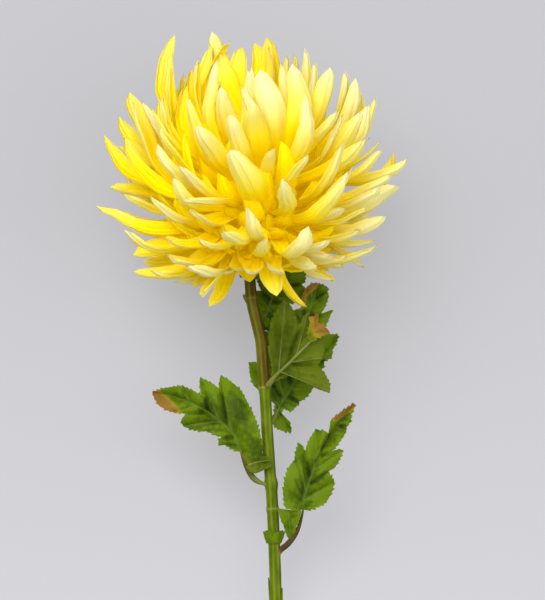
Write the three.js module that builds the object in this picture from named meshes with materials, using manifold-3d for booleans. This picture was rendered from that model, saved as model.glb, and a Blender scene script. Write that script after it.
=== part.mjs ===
// A cut chrysanthemum stem with one large incurved bloom and six lobed leaves, lying on a surface.
// Units are millimetres, +Z is up. The flower is first described as it grew, in a frame whose origin
// is the heart of the bloom: +X to the right, +Y up along the stem, +Z to the front. It is then laid
// on its back, so that the back of the bloom and the cut end of the stem both touch Z = 0.
import * as THREE from 'three';
import { mergeVertices } from 'three/addons/utils/BufferGeometryUtils.js';
import Module from 'manifold-3d';

const wasm = await Module();
wasm.setup();

// ---------------------------------------------------------------- driving dimensions
const GAP = 0.3;                                   // clear space between two neighbouring pieces

const BALL_SIZE = new THREE.Vector3(75, 71, 71);   // half sizes of the ball that the petal tips lie on
const BALL_AT = new THREE.Vector3(0, 15, 2);       // its centre, from the heart
const CORE_SIZE = new THREE.Vector3(44, 32, 42);   // half sizes of the packed middle
const CORE_AT = new THREE.Vector3(0, 12, 0);
const CORE_DETAIL = 2;                             // how often its twenty faces are divided
const BLOOM_AXIS = new THREE.Vector3(-0.06, 1, 0.05).normalize();
const EYE_HEIGHT = 130;                            // petals turn their inner face to this point of the axis

const ROOT_RADIUS = 8;                             // petals spring from this close to the heart
const PETAL_THICK = 1.2;
const PETAL_CUP = 0.36;                            // depth of a petal's trough, as a share of its width
const PETAL_STATIONS = [0.4, 0.64, 0.87];          // shares of its length where a petal's sections stand
const RULE_PETALS = 160;                           // seats of the spiral that fills the ball
const LOWEST_ANGLE = 136;                          // degrees from the axis of the lowest petal
const CLEAR_ANGLE = 10.5;                          // a spiral seat this near a listed petal stays empty
const RESTING_CONE = 32;                           // petals this near straight down reach the surface
const WIDTH_SCALE = 1.08;                          // from a listed petal's seen width to its real one
const RISE_SCALE = 1.1;
const LEAST_RISE = 2;
const ROLL_SPREAD = 14;                            // degrees, either way
const LISTED_DRAW = 900;                           // number of the first listed petal's draw
const SIDE_ROLL = 38;                              // degrees more for a petal that points sideways
const STRAIGHT_FOOT = 0.72;                        // share of its lower half that a petal runs straight
const FOOT_WIDTH = 0.45;                           // width where it springs, as a share of the full one
const FULL_FROM = 0.62;                            // shares of its length between which it is full wide
const FULL_TO = 0.66;
const FOOT_TO = 0.15;                              // share of its length up to which the foot is narrow
const TAPER_POWER = 2.1;                           // of the rounded point
const POINT_POWER = 0.75;
const LEAST_DEPTH = 0.25;                          // of the ball, for a tip that is listed past its rim

// petals of the spiral: low and high end of the draw for each
const SEAT_POLAR = [-3, 3];                        // degrees from the even spacing
const SEAT_ROUND = [-0.06, 0.06];                  // radians
const SEAT_REACH = [0.8, 1];                       // share of the way to the ball's skin
const SEAT_ARCH = [0.5, 1.4];
const SEAT_WIDTH = [9.5, 12.5];
const SEAT_SWAY = [-5, 5];
const SEAT_ROLL = [-45, 15];                       // degrees
const ARCH = 0.16;                                 // rise of the arched back, as a share of the length
const CROWN_ARCH = 0.14;                           // more of it on the axis, fading out at CROWN_ANGLE
const CROWN_ANGLE = 60;
const FLAT_ANGLE = 105;                            // past this petals lose FLATTENING of it by the degree
const FLATTENING = 0.004;
const SHORT_ANGLE = 110;                           // past this they get shorter, at the last by SHORTENING
const SHORTENING = 0.2;

const HEART_HEIGHT = 60;                           // heart above the surface, once laid
const STEM_LENGTH = 252;                           // heart to cut end
const STEM_RADIUS_TOP = 2.8;
const STEM_RADIUS_END = 3.0;
const STEM_SIDES = 10;
const STEM_TOP = 30;                               // the stem starts this far under the heart
const CALYX_TOP = 18;                              // the calyx ends this far under the heart
const CALYX_SOCKET = 2;                            // the stem stands this deep in the calyx
const CALYX_RADIUS = 11;
const CALYX_SIDES = 12;
const CALYX_SHAPE = [[0, 0.42], [0.25, 0.5], [0.55, 0.8], [1, 1]]; // share of its height, of its radius
const CALYX_LEAN = 0.4;                            // of the stem's offset that is left at its top
const BRACTS = 11;
const BRACT_SHAPE = [[0.4, 2.6, 6], [0.85, 4.4, 11], [1.05, 3.4, 14.5]]; // share of radius, width, height
const BRACT_TIP = [1.15, 17];                      // share of radius, height
const BRACT_THICK = 1.4;
const BRACT_CLEARANCE = 4;                         // times the gap, over a bract's tip

const LEAF_THICK = 0.9;
const PETIOLE_RADIUS = 1.5;
const RIB_END_RADIUS = 0.5;
const RIB_STEPS = 5;
const RIB_SIDES = 5;
const RIB_OVERLAP = 0.04;                          // share of its width that a half blade runs past the rib
const RUFF_SIDES = 12;

// Petals of the front, each placed for itself: tip x, tip y, layer (1 on the front of the ball, 0 on
// its rim, -1 on its back), width, rise of the arched back, sideways sway of the middle. Some have a
// crook, by which the upper half bows to the left, and a turn about their length in degrees.
const FRONT_PETALS = [
  // the middle
  [-12, 28, 1.0, 12.5, 8.5, 7.5], [12, 15, 1.0, 9.5, 7, 7], [24, 27, 0.95, 9, 1.5, -1],
  [42, 14, 1.0, 11.5, 9.5, -2.5], [25, -8, 0.95, 11, 11, 0], [34, -13, 0.9, 9, 6, 0],
  [-34, 4, 0.9, 9.5, -3, 5], [-31, 0, 0.88, 10, 2.5, 0], [-16, -10, 0.92, 11, 4, 5],
  [-27, -13, 0.85, 9, 5, 3], [-43, -13, 0.7, 10, 5, 0], [-40, 15, 0.8, 10.5, 5, 0],
  [-37, 21, 0.85, 10.5, 3, 0], [-28, 39, 0.85, 11.5, 0, 1.5], [-32, 53, 0.75, 10, 5, -3],
  [-17, 58, 0.75, 10.5, -1, 1, 3.5], [-6, 58, 0.72, 9.5, 4.5, 6], [-1, 49, 0.92, 12.5, 0, 1],
  [-11, 45, 0.85, 9.5, 1, 0], [1, 67, 0.8, 13, 6, 8], [-2, 68, 0.6, 8.5, 4, 4],
  [8, 29, 0.8, 8.5, 0.5, 0.5],
  // upper right
  [17, 69, 0.8, 13.5, 7.5, 4.5], [23, 79, 0.4, 10, 4, 9], [35, 69, 0.7, 12, 3, 0.5],
  [39, 47, 0.85, 12.5, -2, -0.5, -3], [41, 46, 0.6, 7.5, 4, 0], [50, 48, 0.7, 12.5, 4, 3],
  [54, 51, 0.4, 11.5, 6, 0], [58, 55, 0.1, 9.5, 8, 0], [48, 65, 0.0, 12.5, 8, 0],
  [43, 69, -0.2, 11.5, 6, 0], [31, 65, -0.1, 10.5, 5, 0], [28, 72, 0.1, 10, 5, 5],
  [52, 33, 0.85, 12.5, 0.5, 0.5, -6], [61, 30, 0.5, 9, 3, 0], [55, 36, -0.1, 5, 0.5, 0],
  [60, 34, -0.15, 5, 0.5, 0],
  // right and lower right
  [74, 25, 0.2, 12, -1.5, 0, -6.5], [65, 18, 0.6, 11, 4, 0], [68, 12, 0.1, 12.5, 6, 0],
  [62, -2, 0.5, 11.5, 6, 0], [51, -10, 0.6, 11, 5, 0], [53, 3, 0.8, 8.5, 4, 0],
  [42, 1, 0.75, 9.5, 3, 0], [52, -27, 0.1, 9.5, -4, 0], [44, -21, 0.45, 9.5, 8, 0],
  [37, -34, 0.4, 12.5, 1.5, -0.5], [24, -46, 0.2, 9.5, -0.5, -5.5], [10, -40, 0.7, 12.5, -4.5, -0.5],
  [11, -28, 0.8, 9.5, 3, 0], [-1, -29, 0.85, 12, 4, -3],
  // lower left and left
  [-22, -46, 0.3, 11, -2, 0], [-25, -41, 0.5, 12, -1, 0], [-32, -27, 0.7, 12.5, 8, 0],
  [-59, -28, 0.3, 12, 6, 9], [-59, -21, 0.2, 12.5, 0, 0], [-76, 3, 0.2, 9.5, 8, 0],
  [-71, 12, -0.25, 14, -2, 4], [-50, 7, 0.6, 8.5, 5, 0], [-63, 9, 0.35, 11, 3.5, -8],
  [-73, 37, 0.1, 9.5, 3.5, 0, 17], [-67, 32, -0.2, 10.5, 2, 0], [-59, 52, 0.5, 13, 13, -0.5, -4],
  [-66, 46, -0.2, 9, 4, 0], [-61, 58, -0.1, 9.5, 5, 0], [-55, 53, 0.4, 10.5, 6, 0],
  [-50, 49, 0.65, 10.5, 3, 0], [-46, 41, 0.7, 8, 4, 0], [-46, 31, 0.85, 8.5, 6, 0],
  [-44, 56, 0.4, 8.5, 5, 0], [-63, 36, 0.0, 9, 2.5, 0], [-53, -10, 0.05, 10, 0, -8],
  // upper left and top
  [-39, 85, -0.3, 8.5, 7, 1, 21, -50], [-41, 77, -0.2, 8, 6, 0.5, 0, -40], [-41, 69, 0.2, 8, 10, 0],
  [-32, 61, 0.1, 10, 2, -1, 25, -40], [-28, 74, 0.1, 8, 6, 0], [-12, 82, -0.3, 10, 7, 4, 17.5],
  [-21, 87, -0.5, 11, -4, -1.5, -2.5, 150], [-6, 80, -0.3, 10.5, 0.5, 2, 8.5], [5, 84, -0.4, 11.5, 2, 0],
  [0, 82, -0.4, 11, 2, 0], [6, 79, -0.1, 8.5, 2, 3], [11, 71, 0.3, 9.5, 5, 4],
  [15, 76, -0.1, 9.5, 4, 3], [18, 78, 0.0, 9.5, 4, 4], [-35, 67, -0.3, 8, 6, 0],
  [-31, 69, -0.1, 8, 5, 0], [-17, 64, -0.1, 10.5, 4, 1, 15], [-37, 60, -0.2, 9, 5, 0],
  [-21, 80, -0.45, 10, 3, 1, 11, -30], [-46, 54, -0.1, 9, 5.5, 0.5, 5, -40],
];

// The stem's centre line (x, y, z) and its radius beside the straight taper.
const STEM_LINE = [
  [-3.2, -30, 0, 0], [-2.6, -38, 0, 0], [-2.4, -41, 0, 0.5], [-2.0, -44, 0, 0], [2.4, -62, 0, 0],
  [3.6, -80, 0, 0], [4.0, -84, 0, 0.5], [4.4, -88, 0, 0], [5.4, -107, 0, 0], [6.8, -127, 0, 0],
  [7.2, -130.5, 0, 0.6], [7.4, -134, 0, 0], [7.8, -141, 0, 0], [7.9, -142.6, 0, 0.4],
  [8.0, -144.5, 0, 0], [8.6, -158, 0, 0], [9.2, -175, 0, 0], [9.6, -195, 0, 0],
  [9.8, -222, 0, 0], [9.8, -STEM_LENGTH, 0, 0],
];

// Leaves. A leaf is a petiole, given by its centre line (x, y, z), and blades: the large one, the
// stipules at its foot and a tip that has curled over. rib is a blade's centre line. left and right
// are its two edges from base to tip: the share of the rib at which the vein to that point leaves it,
// then x and y. fold is how steeply the half blades rise from the rib, curl how they bend back
// further out.
const LEAVES = {
  leaf_left: {
    petiole: [[5, -131, 1.5], [-0.8, -128, 3], [-4.6, -122, 4], [-7.2, -115, 4]],
    blades: [{
      rib: [[-7.2, -115, 4], [-9.6, -108.5, 5.2], [-13.4, -103.7, 5.8], [-18.7, -98.6, 5.6],
        [-25, -94.6, 4.6], [-31.7, -91, 2.6], [-40.8, -88.1, -2], [-49.9, -86.9, -8]],
      left: [[0, -8.6, -114.7], [0.06, -14.4, -111.6], [0.1, -18, -112.1], [0.14, -17.3, -108.5],
        [0.16, -14.4, -108.2], [0.27, -23.5, -104.9], [0.38, -32.2, -103.7], [0.42, -35, -102.2],
        [0.46, -36, -100.3], [0.54, -32.9, -96.3], [0.68, -39.4, -96], [0.83, -46.3, -92.9],
        [1, -49.9, -87.2]],
      right: [[0, -3.8, -117.1], [0.02, 2.9, -117.6], [0.08, 2.4, -108.5], [0.17, -6.2, -87.4],
        [0.2, -8.9, -84], [0.26, -17, -78.5], [0.3, -16.6, -86.2], [0.33, -18.7, -84], [0.43, -26.9, -79.4],
        [0.49, -25.9, -86.4], [0.53, -24, -89.4], [0.75, -35.8, -83.4], [1, -49.9, -86.6]],
      fold: 0.22, curl: -0.02,
    }, {
      rib: [[-3.9, -121.4, 4], [1.5, -119.6, 4.9], [7.4, -118.8, 4.6]],
      left: [[0, -7, -116.4], [0.3, -3, -114.4], [0.7, 3.4, -117], [1, 7.4, -117.6]],
      right: [[0, -3.6, -122.9], [0.4, 1, -122.6], [0.8, 5, -122.2], [1, 7.4, -121.6]],
      fold: 0, curl: 0,
    }],
  },
  leaf_right: {
    petiole: [[9, -162, 0.5], [13, -160, 3], [17.5, -156, 4.4], [20.8, -150, 5.4], [22.6, -142.6, 6]],
    ruff: { from: [8.5, -159, 0], to: [8.8, -153.6, 0], radii: [3.9, 4.6, 5.6] },
    blades: [{
      rib: [[22.6, -142.6, 6], [23, -136.3, 7.6], [25.4, -129.1, 9], [27.4, -122.9, 9.6], [30.7, -116.2, 9],
        [35, -108.5, 6.6], [40.3, -100.8, 2.4], [47.3, -92.2, -4]],
      left: [[0, 21.1, -142.6], [0.02, 14.2, -141.6], [0.05, 13.2, -136.8], [0.08, 13.4, -131.5],
        [0.14, 15.6, -122.4], [0.17, 18.5, -118.8], [0.23, 20.6, -110.6], [0.26, 22.6, -112.8],
        [0.32, 24.2, -120.5], [0.35, 23.8, -113.8], [0.42, 26.4, -107.5], [0.46, 29.3, -104.1],
        [0.5, 30.5, -105.1], [0.53, 32.2, -104.4], [0.6, 34.3, -106.9], [0.7, 35.5, -100.3],
        [1, 47.1, -92.1]],
      right: [[0, 24, -142.8], [0.05, 30.7, -140.6], [0.08, 33.8, -138.6], [0.15, 37.5, -129.5],
        [0.25, 34.3, -124.3], [0.3, 37, -122.9], [0.44, 41.7, -114], [0.48, 39.1, -113.7],
        [0.56, 34.8, -115.7], [0.79, 43.2, -105.1], [0.83, 43.2, -103.2], [0.88, 45.5, -99.6],
        [0.93, 45.5, -97.4], [1, 47.5, -92.3]],
      fold: 0.25, curl: -0.02,
    }, {
      rib: [[16.6, -156.4, 4.6], [16, -149, 6.6], [15.4, -142.6, 7.6]],
      left: [[0, 15.8, -156.8], [0.35, 13.2, -150], [0.75, 11.2, -145], [1, 10.2, -141.8]],
      right: [[0, 17.4, -156], [0.35, 19.2, -150.6], [0.75, 21.2, -145.4], [1, 21.8, -142.8]],
      fold: 0.1, curl: 0,
    }],
  },
  leaf_front: {
    petiole: [[5, -84, 2.5], [6.6, -82, 5], [9.1, -78.7, 7]],
    blades: [{
      rib: [[9.1, -78.7, 7], [13, -75.1, 9.5], [16.8, -71.3, 11], [21.1, -67, 12], [25.9, -62.2, 12]],
      left: [[0, 7.7, -79.7], [0.01, 8.2, -74.9], [0.06, 6.5, -57.1], [0.12, 10.3, -46.6],
        [0.15, 13.9, -42.5], [0.18, 15.8, -43.9], [0.28, 18.7, -50.9], [0.36, 20.2, -57.4],
        [0.6, 23, -49.7], [0.68, 24.9, -48.3], [1, 25.6, -61.9]],
      right: [[0, 8.6, -81.1], [0.03, 13, -78.7], [0.06, 18.7, -77.3], [0.09, 22.6, -78],
        [0.15, 29.3, -84.5], [0.19, 35.4, -86.1], [0.24, 34.3, -80.2], [0.42, 29.3, -73.2],
        [0.5, 31.4, -70.1], [0.66, 32.4, -63.4], [0.74, 31.2, -61], [0.85, 28.8, -60.2], [1, 26.3, -62.3]],
      fold: -0.15, curl: 0.01,
    }, {
      rib: [[25.7, -62.4, 12], [27.1, -58.6, 13.4], [28.3, -54.2, 13], [29.5, -48.5, 10.5]],
      left: [[0, 25.3, -61.7], [0.2, 25, -57.1], [0.4, 25.9, -53.3], [0.5, 25.3, -50.2], [0.7, 27.6, -50.6],
        [1, 29.3, -48.5]],
      right: [[0, 26.4, -62.4], [0.1, 28.8, -60.2], [0.4, 35.2, -57.4], [0.62, 31.2, -53.8],
        [0.75, 29.2, -53.4], [1, 29.8, -48.6]],
      fold: 0, curl: 0,
    }],
  },
  leaf_middle: {
    petiole: [[6, -103, -2], [8.2, -99.6, -6], [10.1, -96, -8]],
    blades: [{
      rib: [[10.1, -96, -8], [13, -90.7, -10], [16.8, -85, -12.5], [21.6, -77.8, -15.5], [29.3, -70.1, -19],
        [39.6, -59.4, -23]],
      left: [[0, 8.6, -96.5], [0.01, 9.4, -93.1], [0.03, 7.2, -89.8], [0.07, 0.2, -84.7],
        [0.09, -2.2, -80.6], [0.11, -3.1, -76.3], [0.13, -2.9, -72.2], [0.16, 0.2, -72.5],
        [0.2, 4.1, -76.8], [0.27, 4.6, -57.1], [0.31, 6.5, -58.1], [0.36, 8.6, -67.2], [0.42, 12, -66.2],
        [0.5, 13.4, -60], [0.56, 16.3, -56.6], [0.68, 22.1, -64.3], [0.75, 25.4, -56.6], [0.8, 28.3, -57.1],
        [0.86, 31.7, -59], [1, 39.5, -59.2]],
      right: [[0, 8.4, -98.4], [0.01, 8.4, -102.2], [0.02, 11, -104.6], [0.03, 17, -105.8],
        [0.04, 15.6, -101.3], [0.07, 11.8, -97], [0.1, 13.2, -94.3], [0.14, 17, -95.9], [0.2, 19.2, -93.1],
        [0.26, 20.8, -93], [0.3, 20.4, -91.2], [0.36, 23.5, -89.5], [0.44, 26.7, -85.9],
        [0.58, 28.8, -78.7], [0.7, 32.9, -73.8], [0.76, 32.4, -72], [0.82, 36.5, -69.6],
        [0.86, 36.7, -66.7], [1, 39.8, -59.5]],
      fold: -0.12, curl: 0,
    }],
  },
  leaf_side: {
    petiole: [[1.5, -67, -2], [8, -65, -4], [15, -62, -5], [21, -58, -6]],
    blades: [{
      rib: [[21.1, -57.6, -6], [24.5, -50.9, -8.5], [27.4, -43.7, -10.5], [29.8, -34.6, -12]],
      left: [[0, 19.7, -57.1], [0.08, 18.2, -52.8], [0.14, 17.8, -47.3], [0.3, 22.6, -46.3],
        [0.4, 21.8, -42.7], [0.58, 24, -36.5], [0.8, 27.4, -34.2], [1, 29.6, -34.1]],
      right: [[0, 22.6, -58.1], [0.17, 32.2, -55.9], [0.23, 34.8, -51.8], [0.3, 36.3, -46.9],
        [0.42, 30.5, -49.8], [0.7, 35.1, -40.3], [0.76, 34.2, -38.4], [0.82, 35, -36.7], [1, 30, -34.1]],
      fold: -0.1, curl: 0,
    }],
  },
  leaf_top: {
    petiole: [[-0.5, -56, -2.4], [2, -54, -5], [4.4, -51, -7]],
    blades: [{
      rib: [[4.3, -50.9, -7], [6.7, -44.2, -9], [10.1, -35.5, -11], [14.2, -26.2, -12]],
      left: [[0, 2.9, -51.8], [0.1, -0.2, -46.6], [0.2, -1.2, -40.8], [0.3, 0, -37.7], [0.38, 2.9, -38.4],
        [0.5, 0.7, -32.6], [0.62, 2.9, -29], [0.8, 8.2, -25.7], [1, 13.8, -25.3]],
      right: [[0, 5.8, -52.3], [0.04, 5, -57.1], [0.08, 8.2, -55.7], [0.12, 8.9, -51.6],
        [0.17, 12.7, -52.6], [0.23, 15.4, -49.9], [0.37, 14.2, -43.4], [0.44, 18.2, -43.7],
        [0.52, 22.1, -41.8], [0.58, 23.7, -37.9], [0.63, 23, -35.7], [0.68, 21.4, -34.8],
        [0.76, 23.6, -32.9], [0.84, 23.5, -29.3], [0.93, 19.2, -26.2], [1, 14.4, -25.5]],
      fold: -0.12, curl: 0,
    }],
  },
};

// ---------------------------------------------------------------- colours
const PETAL_YELLOW = new THREE.MeshStandardMaterial({ color: '#f6d928', roughness: 0.55, metalness: 0 });
const STEM_GREEN = new THREE.MeshStandardMaterial({ color: '#5d7a2a', roughness: 0.6, metalness: 0 });
const CALYX_GREEN = new THREE.MeshStandardMaterial({ color: '#56752c', roughness: 0.6, metalness: 0 });
const LEAF_GREEN = new THREE.MeshStandardMaterial({ color: '#3f6f24', roughness: 0.55, metalness: 0 });

// ---------------------------------------------------------------- small tools
const vec = (x, y, z) => new THREE.Vector3(x, y, z);
const mix = (a, b, share) => a.clone().lerp(b, share);
const radians = THREE.MathUtils.degToRad;

// a repeatable draw between low and high, for seat number n
function draw(n, low, high) {
  const s = Math.sin(n * 12.9898 + 7) * 43758.5453;
  return low + (high - low) * (s - Math.floor(s));
}

// a closed BufferGeometry from points and triangles
function closedGeometry(points, triangles) {
  const geometry = new THREE.BufferGeometry();
  geometry.setAttribute('position', new THREE.Float32BufferAttribute(points.flatMap((p) => p.toArray()), 3));
  geometry.setIndex(triangles.flat());
  return mergeVertices(geometry, 1e-4);
}

function solid(geometry) {
  return new wasm.Manifold(new wasm.Mesh({
    numProp: 3,
    vertProperties: geometry.attributes.position.array,
    triVerts: Uint32Array.from(geometry.index.array),
  }));
}

// a skin over rings of equally many points, closed by a fan at both ends; a last ring of one point
// makes a pointed tip
function loft(rings) {
  const sides = rings[0].length;
  const points = rings.flat();
  const triangles = [];
  rings.slice(1).forEach((ring, r) => {
    const low = r * sides;
    const high = low + sides;
    for (let i = 0; i < sides; i += 1) {
      const j = (i + 1) % sides;
      if (ring.length === 1) {
        triangles.push([low + i, low + j, high]);
      } else {
        triangles.push([low + i, low + j, high + j], [low + i, high + j, high + i]);
      }
    }
  });
  for (let i = 1; i < sides - 1; i += 1) {
    triangles.push([0, i + 1, i]);
    if (rings.at(-1).length > 1) {
      const last = points.length - sides;
      triangles.push([last, last + i, last + i + 1]);
    }
  }
  return solid(closedGeometry(points, triangles));
}

// a round rod along a line of points, with a radius at each
function rod(line, radii, sides) {
  const rings = line.map((point, i) => {
    const ahead = line[Math.min(i + 1, line.length - 1)];
    const behind = line[Math.max(i - 1, 0)];
    const along = ahead.clone().sub(behind).normalize();
    const across = vec(0, 0, 1).cross(along).normalize();
    const up = along.clone().cross(across);
    return Array.from({ length: sides }, (_, k) => {
      const turn = (2 * Math.PI * k) / sides;
      return point.clone()
        .addScaledVector(across, radii[i] * Math.cos(turn))
        .addScaledVector(up, radii[i] * Math.sin(turn));
    });
  });
  return loft(rings);
}

function joined(solids) {
  return wasm.Manifold.union(solids);
}

// the one outer body of a solid: what joining sealed inside is filled, and loose scraps are dropped
function outerBody(body) {
  return body.decompose().reduce((a, b) => (a.volume() > b.volume() ? a : b));
}

// ---------------------------------------------------------------- laying the flower down
const stemLine = STEM_LINE.map(([x, y, z]) => vec(x, y, z));
const stemRadii = STEM_LINE.map(([, y, , bump]) => (
  THREE.MathUtils.mapLinear(-y, STEM_TOP, STEM_LENGTH, STEM_RADIUS_TOP, STEM_RADIUS_END) + bump
));
const STEM_FLAT = STEM_RADIUS_END * Math.cos(Math.PI / STEM_SIDES);
const LYING_TILT = Math.asin(HEART_HEIGHT / Math.hypot(STEM_LENGTH, STEM_FLAT))
  - Math.atan2(STEM_FLAT, STEM_LENGTH);
const DOWN = vec(0, -Math.sin(LYING_TILT), -Math.cos(LYING_TILT));

// how far a point of the growing frame lies above the surface
const heightOf = (point) => HEART_HEIGHT - point.dot(DOWN);

// ---------------------------------------------------------------- petals
// control points, side direction, width and roll of a petal with its tip at the given point
function petalPlan(tip, width, rise, sway, roll, crook = 0) {
  const chord = tip.clone().normalize();
  const middle = tip.clone().multiplyScalar(0.5);
  const inward = BLOOM_AXIS.clone().multiplyScalar(EYE_HEIGHT).sub(middle);
  inward.addScaledVector(chord, -inward.dot(chord)).normalize();
  const side = inward.clone().cross(chord);
  const belly = middle.addScaledVector(inward, -rise).addScaledVector(side, sway);
  const root = belly.clone().normalize().multiplyScalar(ROOT_RADIUS);
  const left = vec(-tip.y, tip.x, 0).normalize();
  const first = mix(root, belly, STRAIGHT_FOOT).addScaledVector(left, -crook);
  // the cubic curve passes through the belly half way
  const second = belly.clone().multiplyScalar(8).sub(root).sub(tip)
    .addScaledVector(first, -3)
    .divideScalar(3);
  return { curve: new THREE.CubicBezierCurve3(root, first, second, tip), side, width, roll };
}

// half of a petal's width at share v of its length: a narrower foot, a full middle, a rounded point
function halfWidth(v, width) {
  const swell = THREE.MathUtils.smoothstep(v, FOOT_TO, FULL_FROM);
  const taper = Math.max(0, (v - FULL_TO) / (1 - FULL_TO));
  const point = (1 - taper ** TAPER_POWER) ** POINT_POWER;
  return (width / 2) * THREE.MathUtils.lerp(FOOT_WIDTH, 1, swell) * point;
}

// depth of the ball's skin over x, y
function ballDepth(x, y) {
  const flat = ((x - BALL_AT.x) / BALL_SIZE.x) ** 2 + ((y - BALL_AT.y) / BALL_SIZE.y) ** 2;
  return BALL_SIZE.z * Math.sqrt(Math.max(LEAST_DEPTH ** 2, 1 - flat));
}

// distance from the heart to the ball's skin along a direction
function ballReach(direction) {
  const d = direction.clone().divide(BALL_SIZE);
  const c = BALL_AT.clone().divide(BALL_SIZE);
  const b = d.dot(c);
  return (b + Math.sqrt(b * b - d.lengthSq() * (c.lengthSq() - 1))) / d.lengthSq();
}

function listedPetals() {
  return FRONT_PETALS.map(([x, y, layer, width, rise, sway, crook = 0, turn = 0], i) => {
    const tip = vec(x, y, layer * ballDepth(x, y) + BALL_AT.z);
    const sideways = Math.abs(tip.x) / (Math.abs(tip.x) + Math.abs(tip.z) + 1);
    const roll = turn + draw(LISTED_DRAW + i, -ROLL_SPREAD, ROLL_SPREAD) - SIDE_ROLL * sideways ** 3;
    const arched = rise * RISE_SCALE + LEAST_RISE;
    return petalPlan(tip, width * WIDTH_SCALE, arched, sway, radians(roll), crook);
  });
}

// the spiral of petals, each a golden angle further round the axis, where no listed petal stands
function spiralPetals(taken) {
  const golden = Math.PI * (3 - Math.sqrt(5));
  const across = BLOOM_AXIS.clone().cross(vec(0, 0, 1)).normalize();
  const forward = across.clone().cross(BLOOM_AXIS);
  const lowest = Math.cos(radians(LOWEST_ANGLE));
  const petals = [];
  for (let i = 0; i < RULE_PETALS; i += 1) {
    const share = (i + 0.5) / RULE_PETALS;
    const polar = Math.acos(1 - share * (1 - lowest)) + radians(draw(i * 7 + 1, ...SEAT_POLAR));
    const round = i * golden + draw(i * 7 + 2, ...SEAT_ROUND);
    const direction = BLOOM_AXIS.clone().multiplyScalar(Math.cos(polar))
      .addScaledVector(across, Math.sin(round) * Math.sin(polar))
      .addScaledVector(forward, Math.cos(round) * Math.sin(polar));
    if (taken.some((other) => other.angleTo(direction) < radians(CLEAR_ANGLE))) {
      continue;
    }
    const degrees = THREE.MathUtils.radToDeg(polar);
    const short = SHORTENING * Math.max(0, (degrees - SHORT_ANGLE) / (LOWEST_ANGLE - SHORT_ANGLE));
    const resting = direction.angleTo(DOWN) < radians(RESTING_CONE);
    const fullness = resting ? 1 : draw(i * 7 + 3, ...SEAT_REACH);
    const reach = ballReach(direction) * fullness * (1 - short);
    const arch = ARCH - FLATTENING * Math.max(0, degrees - FLAT_ANGLE)
      + CROWN_ARCH * Math.max(0, 1 - degrees / CROWN_ANGLE);
    const rise = arch * reach * draw(i * 7 + 4, ...SEAT_ARCH);
    const width = draw(i * 7 + 5, ...SEAT_WIDTH);
    const sway = draw(i * 7 + 6, ...SEAT_SWAY);
    const roll = radians(draw(i * 7 + 7, ...SEAT_ROLL));
    petals.push(petalPlan(direction.multiplyScalar(reach), width, rise, sway, roll));
  }
  return petals;
}

// one petal: a trough of four-sided sections that closes to a point
function petal({ curve, side, width, roll }) {
  const rings = PETAL_STATIONS.map((v) => {
    const centre = curve.getPoint(v);
    const along = curve.getTangent(v);
    const flat = side.clone().addScaledVector(along, -side.dot(along)).normalize();
    const across = flat.clone().applyAxisAngle(along, roll);
    const inner = along.clone().cross(across);
    const half = halfWidth(v, width);
    const trough = 2 * half * PETAL_CUP;
    const ring = [
      centre.clone().addScaledVector(across, -half).addScaledVector(inner, trough),
      centre.clone().addScaledVector(inner, -PETAL_THICK / 2),
      centre.clone().addScaledVector(across, half).addScaledVector(inner, trough),
      centre.clone().addScaledVector(inner, PETAL_THICK / 2),
    ];
    const lift = Math.max(0, ...ring.map((point) => -heightOf(point)));
    return ring.map((point) => point.addScaledVector(DOWN, -lift));
  });
  const tip = curve.getPoint(1);
  tip.addScaledVector(DOWN, -Math.max(0, -heightOf(tip)));
  return loft([...rings, [tip]]);
}

function bloomCore() {
  const ball = new THREE.IcosahedronGeometry(1, CORE_DETAIL);
  ball.deleteAttribute('normal');
  ball.deleteAttribute('uv');
  ball.scale(...CORE_SIZE.toArray());
  ball.translate(...CORE_AT.toArray());
  return solid(mergeVertices(ball, 1e-4));
}

function bloom() {
  const listed = listedPetals();
  const taken = listed.map(({ curve }) => curve.v3.clone().normalize());
  const petals = [...listed, ...spiralPetals(taken)].map(petal);
  return joined([bloomCore(), ...petals]);
}

// ---------------------------------------------------------------- stem and calyx
function stem(extra = 0) {
  const line = [stemLine[0].clone().add(vec(0, extra, 0)), ...stemLine.slice(1)];
  return rod(line, stemRadii.map((r) => r + extra), STEM_SIDES);
}

// the green cup under the bloom, with its ring of bracts; the stem's top stands in its foot
function calyx(extra = 0) {
  const foot = stemLine[0].clone().add(vec(0, -CALYX_SOCKET, 0));
  const top = vec(foot.x * CALYX_LEAN, -CALYX_TOP, 0);
  const cupLine = CALYX_SHAPE.map(([share]) => mix(foot, top, share));
  cupLine[0].y -= extra;
  cupLine.at(-1).y += extra;
  const cup = rod(cupLine, CALYX_SHAPE.map(([, r]) => CALYX_RADIUS * r + extra), CALYX_SIDES);
  const bracts = Array.from({ length: BRACTS }, (_, i) => {
    const turn = (2 * Math.PI * i) / BRACTS;
    const out = vec(Math.cos(turn), 0, Math.sin(turn));
    const place = (share, height) => (
      foot.clone().addScaledVector(out, CALYX_RADIUS * share).add(vec(0, height, 0))
    );
    const thick = out.clone().multiplyScalar(BRACT_THICK / 2 + extra);
    const rings = BRACT_SHAPE.map(([share, wide, height]) => {
      const at = place(share, height);
      const across = vec(-out.z, 0, out.x).multiplyScalar(wide / 2 + extra);
      return [at.clone().sub(across), at.clone().sub(thick), at.clone().add(across), at.clone().add(thick)];
    });
    const tip = place(...BRACT_TIP).addScaledVector(out, extra).add(vec(0, BRACT_CLEARANCE * extra, 0));
    return loft([...rings, [tip]]);
  });
  return joined([cup, ...bracts]);
}

// ---------------------------------------------------------------- leaves
const ribOf = (blade) => new THREE.CatmullRomCurve3(blade.rib.map((p) => vec(...p)));

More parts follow.
